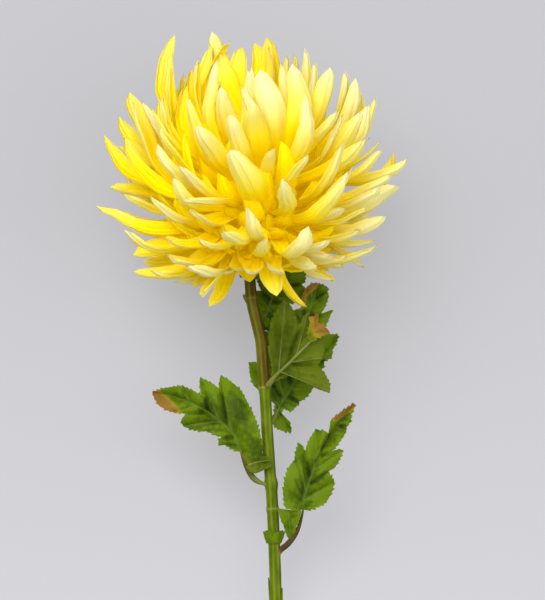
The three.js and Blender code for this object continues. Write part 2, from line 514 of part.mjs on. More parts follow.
// a point of one edge of a blade, or between it and the rib, at the depth that fold and curl give
function bladePoint(blade, ribCurve, [start, x, y], share) {
  const from = ribCurve.getPoint(start);
  const edge = vec(x, y, from.z);
  const point = mix(from, edge, share);
  const out = Math.hypot(point.x - from.x, point.y - from.y);
  point.z += blade.fold * out + blade.curl * out * out;
  return point;
}

// half a blade, from the rib to one edge; turned tells which way round its faces run
function halfBlade(blade, edge, turned) {
  const ribCurve = ribOf(blade);
  const shares = blade.curl === 0 ? [-RIB_OVERLAP, 1] : [-RIB_OVERLAP, 0.5, 1];
  const grid = edge.map((point) => shares.map((share) => bladePoint(blade, ribCurve, point, share)));
  const columns = shares.length;
  const half = vec(0, 0, LEAF_THICK / 2);
  const points = [
    ...grid.flat().map((p) => p.clone().add(half)),
    ...grid.flat().map((p) => p.clone().sub(half)),
  ];
  const under = grid.length * columns;
  const triangles = [];
  const quad = (a, b, c, d) => triangles.push([a, b, c], [a, c, d]);
  for (let r = 0; r < grid.length - 1; r += 1) {
    for (let c = 0; c < columns - 1; c += 1) {
      const a = r * columns + c;
      const [b, d] = [a + columns, a + 1];
      triangles.push([a, b, b + 1], [a, b + 1, d]);
      triangles.push([a + under, b + 1 + under, b + under], [a + under, d + under, b + 1 + under]);
    }
    const inner = r * columns;
    const outer = inner + columns - 1;
    quad(inner, inner + under, inner + columns + under, inner + columns);
    quad(outer, outer + columns, outer + columns + under, outer + under);
  }
  const last = under - columns;
  for (let c = 0; c < columns - 1; c += 1) {
    quad(c, c + 1, c + 1 + under, c + under);
    quad(last + c, last + c + under, last + c + 1 + under, last + c + 1);
  }
  const facing = turned ? triangles : triangles.map(([a, b, c]) => [a, c, b]);
  return solid(closedGeometry(points, facing));
}

// a leafy ruff that clasps the stem
function ruffRing({ from, to, radii }) {
  const line = radii.map((_, i) => mix(vec(...from), vec(...to), i / (radii.length - 1)));
  return rod(line, radii, RUFF_SIDES);
}

function leaf(shape, stemSpace) {
  const petiole = shape.petiole.map((p) => vec(...p));
  const rib = ribOf(shape.blades[0]).getPoints(RIB_STEPS);
  const line = [...petiole.slice(0, -1), ...rib];
  const radii = line.map((_, i) => {
    const share = Math.max(0, i - petiole.length + 1) / (rib.length - 1);
    return THREE.MathUtils.lerp(PETIOLE_RADIUS, RIB_END_RADIUS, Math.sqrt(share));
  });
  const halves = shape.blades.flatMap((blade) => [
    halfBlade(blade, blade.left, true),
    halfBlade(blade, blade.right, false),
  ]);
  const ruff = shape.ruff ? [ruffRing(shape.ruff)] : [];
  return joined([...halves, ...ruff, rod(line, radii, RIB_SIDES)]).subtract(stemSpace);
}

// ---------------------------------------------------------------- the object
function pieceMesh(name, body, material) {
  const { vertProperties, triVerts } = outerBody(body).getMesh();
  const geometry = new THREE.BufferGeometry();
  geometry.setAttribute('position', new THREE.BufferAttribute(Float32Array.from(vertProperties), 3));
  geometry.setIndex(new THREE.BufferAttribute(Uint32Array.from(triVerts), 1));
  const mesh = new THREE.Mesh(geometry, material);
  mesh.name = name;
  return mesh;
}

const stemSpace = stem(GAP);
const calyxSpace = calyx(GAP);
const flower = new THREE.Group();
flower.add(pieceMesh('bloom', bloom().subtract(calyxSpace), PETAL_YELLOW));
flower.add(pieceMesh('calyx', calyx().subtract(stemSpace), CALYX_GREEN));
flower.add(pieceMesh('stem', stem(), STEM_GREEN));
Object.entries(LEAVES).forEach(([name, shape]) => {
  flower.add(pieceMesh(name, leaf(shape, stemSpace), LEAF_GREEN));
});

flower.rotation.x = LYING_TILT;
flower.position.z = HEART_HEIGHT;
flower.updateMatrixWorld(true);
const box = new THREE.Box3().setFromObject(flower, true);
const middle = box.getCenter(new THREE.Vector3());
flower.position.x -= middle.x;
flower.position.y -= middle.y;

const object = new THREE.Group();
object.add(flower);
export default object;
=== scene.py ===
"""A cut chrysanthemum stem with one large incurved bloom and six lobed leaves, lying on a surface.

The flower is described as it grew, in millimetres, in a frame whose origin is the heart of the bloom:
+X to the right, +Y up along the stem, +Z to the front. Every point is then laid down with the flower."""
import math
from functools import partial

import bmesh
import bpy
import numpy as np
from bpy.props import FloatProperty, FloatVectorProperty, IntProperty, PointerProperty
from mathutils import Matrix, Vector


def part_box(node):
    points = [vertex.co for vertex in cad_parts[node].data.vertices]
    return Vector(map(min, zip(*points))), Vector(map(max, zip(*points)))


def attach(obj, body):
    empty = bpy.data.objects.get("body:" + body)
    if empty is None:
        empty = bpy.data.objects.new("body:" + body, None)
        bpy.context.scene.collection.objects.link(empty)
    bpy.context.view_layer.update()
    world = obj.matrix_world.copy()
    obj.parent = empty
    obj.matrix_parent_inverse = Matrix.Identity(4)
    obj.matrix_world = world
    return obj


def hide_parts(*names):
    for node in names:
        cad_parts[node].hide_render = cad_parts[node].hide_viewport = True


bl_info = {
    "name": "Chrysanthemum Stem",
    "version": (1, 0, 0),
    "blender": (4, 5, 0),
    "location": "View3D > Sidebar > Chrysanthemum",
    "description": "Dresses the frame of a cut chrysanthemum: bloom, calyx, stem, leaves and stage",
    "category": "Add Mesh",
}

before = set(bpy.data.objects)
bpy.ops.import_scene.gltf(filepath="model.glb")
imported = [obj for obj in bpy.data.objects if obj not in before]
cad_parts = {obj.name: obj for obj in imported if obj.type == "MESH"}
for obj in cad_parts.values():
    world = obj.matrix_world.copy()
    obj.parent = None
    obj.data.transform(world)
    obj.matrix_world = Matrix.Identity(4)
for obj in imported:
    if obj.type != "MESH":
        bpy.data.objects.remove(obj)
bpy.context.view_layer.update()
MM = 0.001

# ---------------------------------------------------------------- how the flower lies
HEART_HEIGHT = 60
STEM_LENGTH = 252
STEM_RADIUS_TOP = 2.8
STEM_RADIUS_END = 3.0
STEM_SIDES = 10                                    # of the frame's stem
STEM_TOP = 30                                      # its distance from the heart
STEM_FLAT = STEM_RADIUS_END * math.cos(math.pi / STEM_SIDES)
LYING_TILT = (math.asin(HEART_HEIGHT / math.hypot(STEM_LENGTH, STEM_FLAT))
              - math.atan2(STEM_FLAT, STEM_LENGTH))
TURN = Matrix.Rotation(LYING_TILT, 3, "X")
DOWN = TURN.transposed() @ Vector((0, 0, -1))

# ---------------------------------------------------------------- the bloom
BALL_SIZE = Vector((75, 71, 71))                   # half sizes of the ball that the petal tips lie on
BALL_AT = Vector((0, 15, 2))
BLOOM_AXIS = Vector((-0.06, 1, 0.05)).normalized()
EYE_HEIGHT = 130                                   # petals turn their face to this point of the axis
ROOT_RADIUS = 8
LOWEST_ANGLE = 136                                 # degrees from the axis of the lowest petal
CLEAR_ANGLE = 10.5                                 # a spiral seat this near a listed petal stays empty
RESTING_CONE = 32                                  # petals this near straight down reach the surface
WIDTH_SCALE = 1.08                                 # from a listed petal's seen width to its real one
RISE_SCALE = 1.1
LEAST_RISE = 2
ROLL_SPREAD = 14                                   # degrees, either way
SIDE_ROLL = 38                                     # degrees more for a petal that points sideways
LEAST_DEPTH = 0.25                                 # of the ball, for a tip that is listed past its rim
FIRST_SHARE = 0.72                                 # of the way from a petal's root to its belly
SHORTENING = 0.2                                   # of a petal at the lowest angle
SHORT_ANGLE = 110                                  # where the shortening starts
ARCH = 0.16                                        # rise of a spiral petal, as a share of its length
FLATTENING = 0.004                                 # less of it for every degree past the flat angle
FLAT_ANGLE = 105
CROWN_ARCH = 0.14                                  # more of it at the top of the axis
CROWN_ANGLE = 60                                   # where the crown ends
INNER_SPREAD = 1.8                                 # 2 would seat inner petals all round the heart
GOLDEN_ANGLE = math.pi * (3 - math.sqrt(5))

# Petals of the front, each placed for itself: tip x, tip y, layer (1 on the front of the ball, 0 on
# its rim, -1 on its back), width, rise of the arched back, sideways sway of the middle. Some have a
# crook, by which the upper half bows to the left, and a turn about their length in degrees.
FRONT_PETALS = (
    # the middle
    (-12, 28, 1.0, 12.5, 8.5, 7.5), (12, 15, 1.0, 9.5, 7, 7), (24, 27, 0.95, 9, 1.5, -1),
    (42, 14, 1.0, 11.5, 9.5, -2.5), (25, -8, 0.95, 11, 11, 0), (34, -13, 0.9, 9, 6, 0),
    (-34, 4, 0.9, 9.5, -3, 5), (-31, 0, 0.88, 10, 2.5, 0), (-16, -10, 0.92, 11, 4, 5),
    (-27, -13, 0.85, 9, 5, 3), (-43, -13, 0.7, 10, 5, 0), (-40, 15, 0.8, 10.5, 5, 0),
    (-37, 21, 0.85, 10.5, 3, 0), (-28, 39, 0.85, 11.5, 0, 1.5), (-32, 53, 0.75, 10, 5, -3),
    (-17, 58, 0.75, 10.5, -1, 1, 3.5), (-6, 58, 0.72, 9.5, 4.5, 6), (-1, 49, 0.92, 12.5, 0, 1),
    (-11, 45, 0.85, 9.5, 1, 0), (1, 67, 0.8, 13, 6, 8), (-2, 68, 0.6, 8.5, 4, 4),
    (8, 29, 0.8, 8.5, 0.5, 0.5),
    # upper right
    (17, 69, 0.8, 13.5, 7.5, 4.5), (23, 79, 0.4, 10, 4, 9), (35, 69, 0.7, 12, 3, 0.5),
    (39, 47, 0.85, 12.5, -2, -0.5, -3), (41, 46, 0.6, 7.5, 4, 0), (50, 48, 0.7, 12.5, 4, 3),
    (54, 51, 0.4, 11.5, 6, 0), (58, 55, 0.1, 9.5, 8, 0), (48, 65, 0.0, 12.5, 8, 0),
    (43, 69, -0.2, 11.5, 6, 0), (31, 65, -0.1, 10.5, 5, 0), (28, 72, 0.1, 10, 5, 5),
    (52, 33, 0.85, 12.5, 0.5, 0.5, -6), (61, 30, 0.5, 9, 3, 0), (55, 36, -0.1, 5, 0.5, 0),
    (60, 34, -0.15, 5, 0.5, 0),
    # right and lower right
    (74, 25, 0.2, 12, -1.5, 0, -6.5), (65, 18, 0.6, 11, 4, 0), (68, 12, 0.1, 12.5, 6, 0),
    (62, -2, 0.5, 11.5, 6, 0), (51, -10, 0.6, 11, 5, 0), (53, 3, 0.8, 8.5, 4, 0),
    (42, 1, 0.75, 9.5, 3, 0), (52, -27, 0.1, 9.5, -4, 0), (44, -21, 0.45, 9.5, 8, 0),
    (37, -34, 0.4, 12.5, 1.5, -0.5), (24, -46, 0.2, 9.5, -0.5, -5.5), (10, -40, 0.7, 12.5, -4.5, -0.5),
    (11, -28, 0.8, 9.5, 3, 0), (-1, -29, 0.85, 12, 4, -3),
    # lower left and left
    (-22, -46, 0.3, 11, -2, 0), (-25, -41, 0.5, 12, -1, 0), (-32, -27, 0.7, 12.5, 8, 0),
    (-59, -28, 0.3, 12, 6, 9), (-59, -21, 0.2, 12.5, 0, 0), (-76, 3, 0.2, 9.5, 8, 0),
    (-71, 12, -0.25, 14, -2, 4), (-50, 7, 0.6, 8.5, 5, 0), (-63, 9, 0.35, 11, 3.5, -8),
    (-73, 37, 0.1, 9.5, 3.5, 0, 17), (-67, 32, -0.2, 10.5, 2, 0), (-59, 52, 0.5, 13, 13, -0.5, -4),
    (-66, 46, -0.2, 9, 4, 0), (-61, 58, -0.1, 9.5, 5, 0), (-55, 53, 0.4, 10.5, 6, 0),
    (-50, 49, 0.65, 10.5, 3, 0), (-46, 41, 0.7, 8, 4, 0), (-46, 31, 0.85, 8.5, 6, 0),
    (-44, 56, 0.4, 8.5, 5, 0), (-63, 36, 0.0, 9, 2.5, 0), (-53, -10, 0.05, 10, 0, -8),
    # upper left and top
    (-39, 85, -0.3, 8.5, 7, 1, 21, -50), (-41, 77, -0.2, 8, 6, 0.5, 0, -40), (-41, 69, 0.2, 8, 10, 0),
    (-32, 61, 0.1, 10, 2, -1, 25, -40), (-28, 74, 0.1, 8, 6, 0), (-12, 82, -0.3, 10, 7, 4, 17.5),
    (-21, 87, -0.5, 11, -4, -1.5, -2.5, 150), (-6, 80, -0.3, 10.5, 0.5, 2, 8.5), (5, 84, -0.4, 11.5, 2, 0),
    (0, 82, -0.4, 11, 2, 0), (6, 79, -0.1, 8.5, 2, 3), (11, 71, 0.3, 9.5, 5, 4),
    (15, 76, -0.1, 9.5, 4, 3), (18, 78, 0.0, 9.5, 4, 4), (-35, 67, -0.3, 8, 6, 0),
    (-31, 69, -0.1, 8, 5, 0), (-17, 64, -0.1, 10.5, 4, 1, 15), (-37, 60, -0.2, 9, 5, 0),
    (-21, 80, -0.45, 10, 3, 1, 11, -30), (-46, 54, -0.1, 9, 5.5, 0.5, 5, -40),
)

# ---------------------------------------------------------------- the stem
# centre line (x, y, z) and radius beside the straight taper
STEM_LINE = (
    (-3.2, -30, 0, 0), (-2.6, -38, 0, 0), (-2.4, -41, 0, 0.5), (-2.0, -44, 0, 0), (2.4, -62, 0, 0),
    (3.6, -80, 0, 0), (4.0, -84, 0, 0.5), (4.4, -88, 0, 0), (5.4, -107, 0, 0), (6.8, -127, 0, 0),
    (7.2, -130.5, 0, 0.6), (7.4, -134, 0, 0), (7.8, -141, 0, 0), (7.9, -142.6, 0, 0.4),
    (8.0, -144.5, 0, 0), (8.6, -158, 0, 0), (9.2, -175, 0, 0), (9.6, -195, 0, 0),
    (9.8, -222, 0, 0), (9.8, -STEM_LENGTH, 0, 0),
)
JOINTS = ((-41, 0.4), (-84, 0.9), (-142.4, 1))     # heights of the pale rings, and how clear they are
# torn strips of skin that stand off the stem: foot, tip, radius
STRIPS = (
    ((-4.4, -43, 0.6), (-6.1, -39.6, 0.8), 0.8),
    ((7.6, -196, 0.6), (6, -175.4, 0.8), 0.55),
    ((11.9, -200, 0.6), (12.5, -180.4, 0.8), 0.65),
)
STEM_RIBS = 7
STEM_DETAIL = 72
STEM_ROWS = 260
STEM_SMOOTHING = 7                                 # rows over which the centre line is evened out
RIB_DEPTH = 0.06                                   # of the radius
RING_WIDTH = 0.5

# ---------------------------------------------------------------- the leaves
# how far from the rib to the edge each point of a row stands
BLADE_SHARES = np.array((-0.01, 0.03, 0.08, 0.16, 0.26, 0.38, 0.5, 0.62, 0.74, 0.86, 0.94, 1))
TOOTH = ((0, 0), (0.35, 0.35), (0.7, 0.75), (0.92, 1))     # how far along a tooth, how high
TOOTH_BOW = 0.04                                   # how far the edge bows out, of the length between points
SMALL_EDGE = 5                                     # a stipule's edge has no more points than this
SMALL_TOOTH = 0.3
VEIN_LEAD = 0.04                                   # a side vein leaves the rib this share before its point
FINE_PLEAT = 1.4
WAVE_STEP = 3.7                                    # of the edge, for one radian of its waves
QUILT_REACH = 2.5                                  # from a vein to where the swelling is two thirds grown
STALK_RADIUS = 1.45
RIB_THINNING = {True: 1.2, False: 0.7}             # off the stalk's radius, by face_up
STALK_SIDES = 12
BUD_RADIUS = 2.2
RUFF_DEPTH = 0.8

# A leaf is a petiole, given by its centre line, and blades: the large one and the stipules at its
# foot. rib is a blade's centre line. left and right are its edges from base to tip: the share of the
# rib at which the vein to that point leaves it, then x and y. fold is how steeply the half blades
# rise from the rib, curl how they bend back further out. dried gives lines (x, y to x, y, and a reach)
# along which the green has turned, dark the same with a depth where it is deepest, and browned how
# brown the stalk is. face_up is false where the underside shows. A blade may have a face_up and dried
# of its own. bud is the centre line of a bud at the foot of the leaf, ruff a collar: from, to and radii.
LEAVES = {
    "leaf_left": {
        "petiole": ((5, -131, 1.5), (-0.8, -128, 3), (-4.6, -122, 4), (-7.2, -115, 4)),
        "blades": ({
            "rib": ((-7.2, -115, 4), (-9.6, -108.5, 5.2), (-13.4, -103.7, 5.8), (-18.7, -98.6, 5.6),
                    (-25, -94.6, 4.6), (-31.7, -91, 2.6), (-40.8, -88.1, -2), (-49.9, -86.9, -8)),
            "left": ((0, -8.6, -114.7), (0.06, -14.4, -111.6), (0.1, -18, -112.1), (0.14, -17.3, -108.5),
                     (0.16, -14.4, -108.2), (0.27, -23.5, -104.9), (0.38, -32.2, -103.7),
                     (0.42, -35, -102.2), (0.46, -36, -100.3), (0.54, -32.9, -96.3), (0.68, -39.4, -96),
                     (0.83, -46.3, -92.9), (1, -49.9, -87.2)),
            "right": ((0, -3.8, -117.1), (0.02, 2.9, -117.6), (0.08, 2.4, -108.5), (0.17, -6.2, -87.4),
                      (0.2, -8.9, -84), (0.26, -17, -78.5), (0.3, -16.6, -86.2), (0.33, -18.7, -84),
                      (0.43, -26.9, -79.4), (0.49, -25.9, -86.4), (0.53, -24, -89.4), (0.75, -35.8, -83.4),
                      (1, -49.9, -86.6)),
            "fold": 0.22, "curl": -0.02,
        }, {
            "rib": ((-3.9, -121.4, 6), (1.5, -119.6, 6.5), (7.4, -118.8, 5.6)),
            "left": ((0, -7, -116.4), (0.3, -3, -114.4), (0.7, 3.4, -117), (1, 7.4, -117.6)),
            "right": ((0, -5.2, -121.6), (0.3, -2.4, -124.8), (0.55, 0.6, -125), (0.78, 3.6, -123.4),
                      (1, 7.4, -121.6)),
            "fold": 0, "curl": 0, "face_up": False,
        }),
        "dried": ((-51, -87, -40, -96, 4.6),), "browned": 0.3, "face_up": True,
        "dark": ((2, -112, -8, -82, 10, 0.7),),
    },
    "leaf_right": {
        "petiole": ((9.8, -167, 0.2), (11.6, -162.4, 1.4), (15, -159.4, 3), (18.6, -154.8, 4.4),
                    (20.8, -150, 5.4), (22.6, -142.6, 6)),
        "blades": ({
            "rib": ((22.6, -142.6, 6), (23, -136.3, 7.6), (25.4, -129.1, 9), (27.4, -122.9, 9.6),
                    (30.7, -116.2, 9), (35, -108.5, 6.6), (40.3, -100.8, 2.4), (47.3, -92.2, -4)),
            "left": ((0, 21.1, -142.6), (0.02, 14.2, -141.6), (0.05, 13.2, -136.8), (0.08, 13.4, -131.5),
                     (0.14, 15.6, -122.4), (0.17, 18.5, -118.8), (0.23, 20.6, -110.6), (0.26, 22.6, -112.8),
                     (0.32, 24.2, -120.5), (0.35, 23.8, -113.8), (0.42, 26.4, -107.5), (0.46, 29.3, -104.1),
                     (0.5, 30.5, -105.1), (0.53, 32.2, -104.4), (0.6, 34.3, -106.9), (0.7, 35.5, -100.3),
                     (1, 47.1, -92.1)),
            "right": ((0, 24, -142.8), (0.05, 30.7, -140.6), (0.08, 33.8, -138.6), (0.15, 37.5, -129.5),
                      (0.25, 34.3, -124.3), (0.3, 37, -122.9), (0.44, 41.7, -114), (0.48, 39.1, -113.7),
                      (0.56, 34.8, -115.7), (0.79, 43.2, -105.1), (0.83, 43.2, -103.2), (0.88, 45.5, -99.6),
                      (0.93, 45.5, -97.4), (1, 47.5, -92.3)),
            "fold": 0.25, "curl": -0.02,
        }, {
            "rib": ((16.6, -156.4, 4.6), (16, -149, 6.6), (15.4, -142.6, 7.6)),
            "left": ((0, 15.8, -156.8), (0.35, 13.2, -150), (0.75, 11.2, -145), (1, 10.2, -141.8)),
            "right": ((0, 17.4, -156), (0.35, 19.2, -150.6), (0.75, 21.2, -145.4), (1, 21.8, -142.8)),
            "fold": 0.1, "curl": 0,
        }),
        "ruff": ((8.5, -159, 0), (8.8, -153.2, 0), (3.6, 4.4, 4.5)),
        "dried": ((48, -91.5, 38, -98.6, 2.2),), "browned": 0.6, "face_up": True,
    },
    "leaf_front": {
        "petiole": ((5, -84, 2.5), (6.6, -82, 5), (9.1, -78.7, 7)),
        "blades": ({
            "rib": ((9.1, -78.7, 7), (13, -75.1, 9.5), (16.8, -71.3, 11), (21.1, -67, 12), (25.9, -62.2, 12)),
            "left": ((0, 7.7, -79.7), (0.01, 8.2, -74.9), (0.06, 6.5, -57.1), (0.12, 10.3, -46.6),
                     (0.15, 13.9, -42.5), (0.18, 15.8, -43.9), (0.28, 18.7, -50.9), (0.36, 20.2, -57.4),
                     (0.6, 23, -49.7), (0.68, 24.9, -48.3), (1, 25.6, -61.9)),
            "right": ((0, 8.6, -81.1), (0.03, 13, -78.7), (0.06, 18.7, -77.3), (0.09, 22.6, -78),
                      (0.15, 29.3, -84.5), (0.19, 35.4, -86.1), (0.24, 34.3, -80.2), (0.42, 29.3, -73.2),
                      (0.5, 31.4, -70.1), (0.66, 32.4, -63.4), (0.74, 31.2, -61), (0.85, 28.8, -60.2),
                      (1, 26.3, -62.3)),
            "fold": -0.15, "curl": 0.01,
        }, {
            "rib": ((25.7, -62.4, 12), (27.1, -58.6, 13.4), (28.3, -54.2, 13), (29.5, -48.5, 10.5)),
            "left": ((0, 25.3, -61.7), (0.2, 25, -57.1), (0.4, 25.9, -53.3), (0.5, 25.3, -50.2),
                     (0.7, 27.6, -50.6), (1, 29.3, -48.5)),
            "right": ((0, 26.4, -62.4), (0.1, 28.8, -60.2), (0.4, 35.2, -57.4), (0.62, 31.2, -53.8),
                      (0.75, 29.2, -53.4), (1, 29.8, -48.6)),
            "fold": 0, "curl": 0, "face_up": True, "dried": ((37, -60, 31, -45, 11),),
        }),
        "dried": (), "browned": 0, "face_up": False,
        "dark": ((10, -72, 14, -46, 10, 0.4),),
    },
    "leaf_middle": {
        "petiole": ((6, -103, -2), (8.2, -99.6, -6), (10.1, -96, -8)),
        "blades": ({
            "rib": ((10.1, -96, -8), (13, -90.7, -10), (16.8, -85, -12.5), (21.6, -77.8, -15.5),
                    (29.3, -70.1, -19), (39.6, -59.4, -23)),
            "left": ((0, 8.6, -96.5), (0.01, 9.4, -93.1), (0.03, 7.2, -89.8), (0.07, 0.2, -84.7),
                     (0.09, -2.2, -80.6), (0.11, -3.1, -76.3), (0.13, -2.9, -72.2), (0.16, 0.2, -72.5),
                     (0.2, 4.1, -76.8), (0.27, 4.6, -57.1), (0.31, 6.5, -58.1), (0.36, 8.6, -67.2),
                     (0.42, 12, -66.2), (0.5, 13.4, -60), (0.56, 16.3, -56.6), (0.68, 22.1, -64.3),
                     (0.75, 25.4, -56.6), (0.8, 28.3, -57.1), (0.86, 31.7, -59), (1, 39.5, -59.2)),
            "right": ((0, 8.4, -98.4), (0.01, 8.4, -102.2), (0.02, 11, -104.6), (0.03, 17, -105.8),
                      (0.04, 15.6, -101.3), (0.07, 11.8, -97), (0.1, 13.2, -94.3), (0.14, 17, -95.9),
                      (0.2, 19.2, -93.1), (0.26, 20.8, -93), (0.3, 20.4, -91.2), (0.36, 23.5, -89.5),
                      (0.44, 26.7, -85.9), (0.58, 28.8, -78.7), (0.7, 32.9, -73.8), (0.76, 32.4, -72),
                      (0.82, 36.5, -69.6), (0.86, 36.7, -66.7), (1, 39.8, -59.5)),
            "fold": -0.12, "curl": 0,
        },),
        "dried": (), "browned": 0.15, "face_up": True,
    },
    "leaf_side": {
        "petiole": ((1.5, -67, -2), (8, -65, -4), (15, -62, -5), (21, -58, -6)),
        "blades": ({
            "rib": ((21.1, -57.6, -6), (24.5, -50.9, -8.5), (27.4, -43.7, -10.5), (29.8, -34.6, -12)),
            "left": ((0, 19.7, -57.1), (0.08, 18.2, -52.8), (0.14, 17.8, -47.3), (0.3, 22.6, -46.3),
                     (0.4, 21.8, -42.7), (0.58, 24, -36.5), (0.8, 27.4, -34.2), (1, 29.6, -34.1)),
            "right": ((0, 22.6, -58.1), (0.17, 32.2, -55.9), (0.23, 34.8, -51.8), (0.3, 36.3, -46.9),
                      (0.42, 30.5, -49.8), (0.7, 35.1, -40.3), (0.76, 34.2, -38.4), (0.82, 35, -36.7),
                      (1, 30, -34.1)),
            "fold": -0.1, "curl": 0,
        },),
        "dried": ((21.4, -45, 22.6, -39, 2.4), (22.6, -39, 29, -33.6, 2.8)), "browned": 0.2, "face_up": True,
    },
    "leaf_top": {
        "petiole": ((-0.5, -56, -2.4), (2, -54, -5), (4.4, -51, -7)),
        "blades": ({
            "rib": ((4.3, -50.9, -7), (6.7, -44.2, -9), (10.1, -35.5, -11), (14.2, -26.2, -12)),
            "left": ((0, 2.9, -51.8), (0.1, -0.2, -46.6), (0.2, -1.2, -40.8), (0.3, 0, -37.7),
                     (0.38, 2.9, -38.4), (0.5, 0.7, -32.6), (0.62, 2.9, -29), (0.8, 8.2, -25.7),
                     (1, 13.8, -25.3)),
            "right": ((0, 5.8, -52.3), (0.04, 5, -57.1), (0.08, 8.2, -55.7), (0.12, 8.9, -51.6),
                      (0.17, 12.7, -52.6), (0.23, 15.4, -49.9), (0.37, 14.2, -43.4), (0.44, 18.2, -43.7),
                      (0.52, 22.1, -41.8), (0.58, 23.7, -37.9), (0.63, 23, -35.7), (0.68, 21.4, -34.8),
                      (0.76, 23.6, -32.9), (0.84, 23.5, -29.3), (0.93, 19.2, -26.2), (1, 14.4, -25.5)),
            "fold": -0.12, "curl": 0,
        },),
        "bud": ((3.6, -57, -3), (4.8, -53.6, -3.4), (5.6, -50.4, -4)),
        "dried": (), "browned": 0.2, "face_up": True,
    },
}

# ---------------------------------------------------------------- the view
VIEW_SPAN = 288                                    # height of the picture at the flower, in mm
VIEW_CENTRE = (7.9, -42.2)                         # what the camera looks at, from the heart
VIEW_DISTANCE = 2400
SENSOR = 36
FLOOR_REACH = 3                                    # metres, either way


# ---------------------------------------------------------------- small tools
MATH, VECTOR, MIX = "ShaderNodeMath", "ShaderNodeVectorMath", "ShaderNodeMix"
NOISE, RAMP, RANGE = "ShaderNodeTexNoise", "ShaderNodeValToRGB", "ShaderNodeMapRange"
CURVE, TURN_VECTOR, ATTRIBUTE = "ShaderNodeFloatCurve", "ShaderNodeVectorRotate", "ShaderNodeAttribute"
SPLIT, COMBINE, BUMP = "ShaderNodeSeparateXYZ", "ShaderNodeCombineXYZ", "ShaderNodeBump"


def find_heart():
    """The heart's place in the frame, in metres: the cut end of the stem says how far it was moved."""
    low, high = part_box("stem")
    end_x = STEM_LINE[-1][0] + STEM_RADIUS_END
    rim_height = STEM_RADIUS_END * math.sin(2 * 2 * math.pi / STEM_SIDES)
    end = TURN @ Vector((0, -STEM_LENGTH, rim_height))
    return Vector((high.x - end_x * MM, low.y - end.y * MM, HEART_HEIGHT * MM))


HEART = find_heart()


def laid(points):
    """Points of the growing frame, in mm, as an array of points of the lying flower, in metres."""
    turned = np.asarray(points, dtype=float).reshape(-1, 3) @ np.array(TURN.transposed())
    return turned * MM + np.array(HEART)


def draw(n, low, high):
    """A repeatable draw between low and high, for seat number n."""
    s = math.sin(n * 12.9898 + 7) * 43758.5453
    return low + (high - low) * (s - math.floor(s))


def smoothstep(value, low, high):
    """0 below low and 1 above high, with a smooth rise between."""
    share = np.clip((value - low) / (high - low), 0, 1)
    return share * share * (3 - 2 * share)


def curve_through(points, shares):
    """Points of a smooth curve through the given points, at shares of its length from 0 to 1."""
    points = np.asarray(points, dtype=float)
    ends = np.vstack((2 * points[0] - points[1], points, 2 * points[-1] - points[-2]))
    place = np.clip(np.asarray(shares, dtype=float), 0, 1) * (len(points) - 1)
    first = np.minimum(place.astype(int), len(points) - 2)
    t = (place - first)[:, None]
    a, b, c, d = (ends[first + k] for k in range(4))
    return 0.5 * (2 * b + (c - a) * t + (2 * a - 5 * b + 4 * c - d) * t ** 2
                  + (3 * b - a - 3 * c + d) * t ** 3)


def linear(hex_colour):
    """A colour given as sRGB hex, as linear RGBA."""
    parts = [int(hex_colour[i:i + 2], 16) / 255 for i in (1, 3, 5)]
    return tuple(p / 12.92 if p <= 0.04045 else ((p + 0.055) / 1.055) ** 2.4 for p in parts) + (1.0,)


def fill(node, inputs):
    """Links or sets a node's inputs, which are given in order or by name or number."""
    pairs = inputs.items() if isinstance(inputs, dict) else enumerate(inputs)
    for key, value in pairs:
        if isinstance(value, bpy.types.NodeSocket):
            node.id_data.links.new(value, node.inputs[key])
        else:
            node.inputs[key].default_value = value


def add(tree, kind, inputs=(), out=0, **settings):
    """Adds a node of that kind, sets it, fills its inputs and gives back one of its outputs."""
    node = tree.nodes.new(kind)
    for name, value in settings.items():
        setattr(node, name, value)
    fill(node, inputs)
    return node.outputs[out]


def bend_curve(node, points):
    """Gives a Float Curve node the listed points."""
    curve = node.mapping.curves[0]
    while len(curve.points) < len(points):
        curve.points.new(0.5, 0.5)
    for point, place in zip(curve.points, points):
        point.location = place
    node.mapping.update()


def set_ramp(node, places, colours):
    """Gives a Color Ramp node its stops, with the colours in hex."""
    elements = node.color_ramp.elements
    while len(elements) < len(places):
        elements.new(0.5)
    for element, place, colour in zip(elements, places, colours):
        element.position = place
        element.color = linear(colour)


def new_material(name):
    """A new material, what adds nodes to it, and its shader."""
    material = bpy.data.materials.new(name)
    material.use_nodes = True
    return material, partial(add, material.node_tree), material.node_tree.nodes["Principled BSDF"]


def new_object(name, data):
    """A new object of the scene with the given mesh, light or camera."""
    piece = bpy.data.objects.new(name, data)
    bpy.context.scene.collection.objects.link(piece)
    return piece


def plain_copy(piece, name):
    """The evaluated piece as a plain mesh object without modifiers."""
    graph = bpy.context.evaluated_depsgraph_get()
    mesh = bpy.data.meshes.new_from_object(piece.evaluated_get(graph))
    mesh.name = name
    bpy.data.objects.remove(piece)
    while len(mesh.materials) and mesh.materials[0] is None:
        mesh.materials.pop(index=0)
    return new_object(name, mesh)


def seat_piece(piece, node):
    """Ties a finished piece to the frame."""
    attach(piece, "root")
    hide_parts(node)


# ---------------------------------------------------------------- petal seats
def ball_depth(x, y):
    """How far the front of the ball stands before its middle, over a point x, y."""
    flat = ((x - BALL_AT.x) / BALL_SIZE.x) ** 2 + ((y - BALL_AT.y) / BALL_SIZE.y) ** 2
    return BALL_SIZE.z * math.sqrt(max(LEAST_DEPTH ** 2, 1 - flat))


def ball_reach(direction):
    """Distance from the heart to the ball's skin along a direction."""
    d = Vector(a / b for a, b in zip(direction, BALL_SIZE))
    c = Vector(a / b for a, b in zip(BALL_AT, BALL_SIZE))
    b = d.dot(c)
    return (b + math.sqrt(b * b - d.length_squared * (c.length_squared - 1))) / d.length_squared


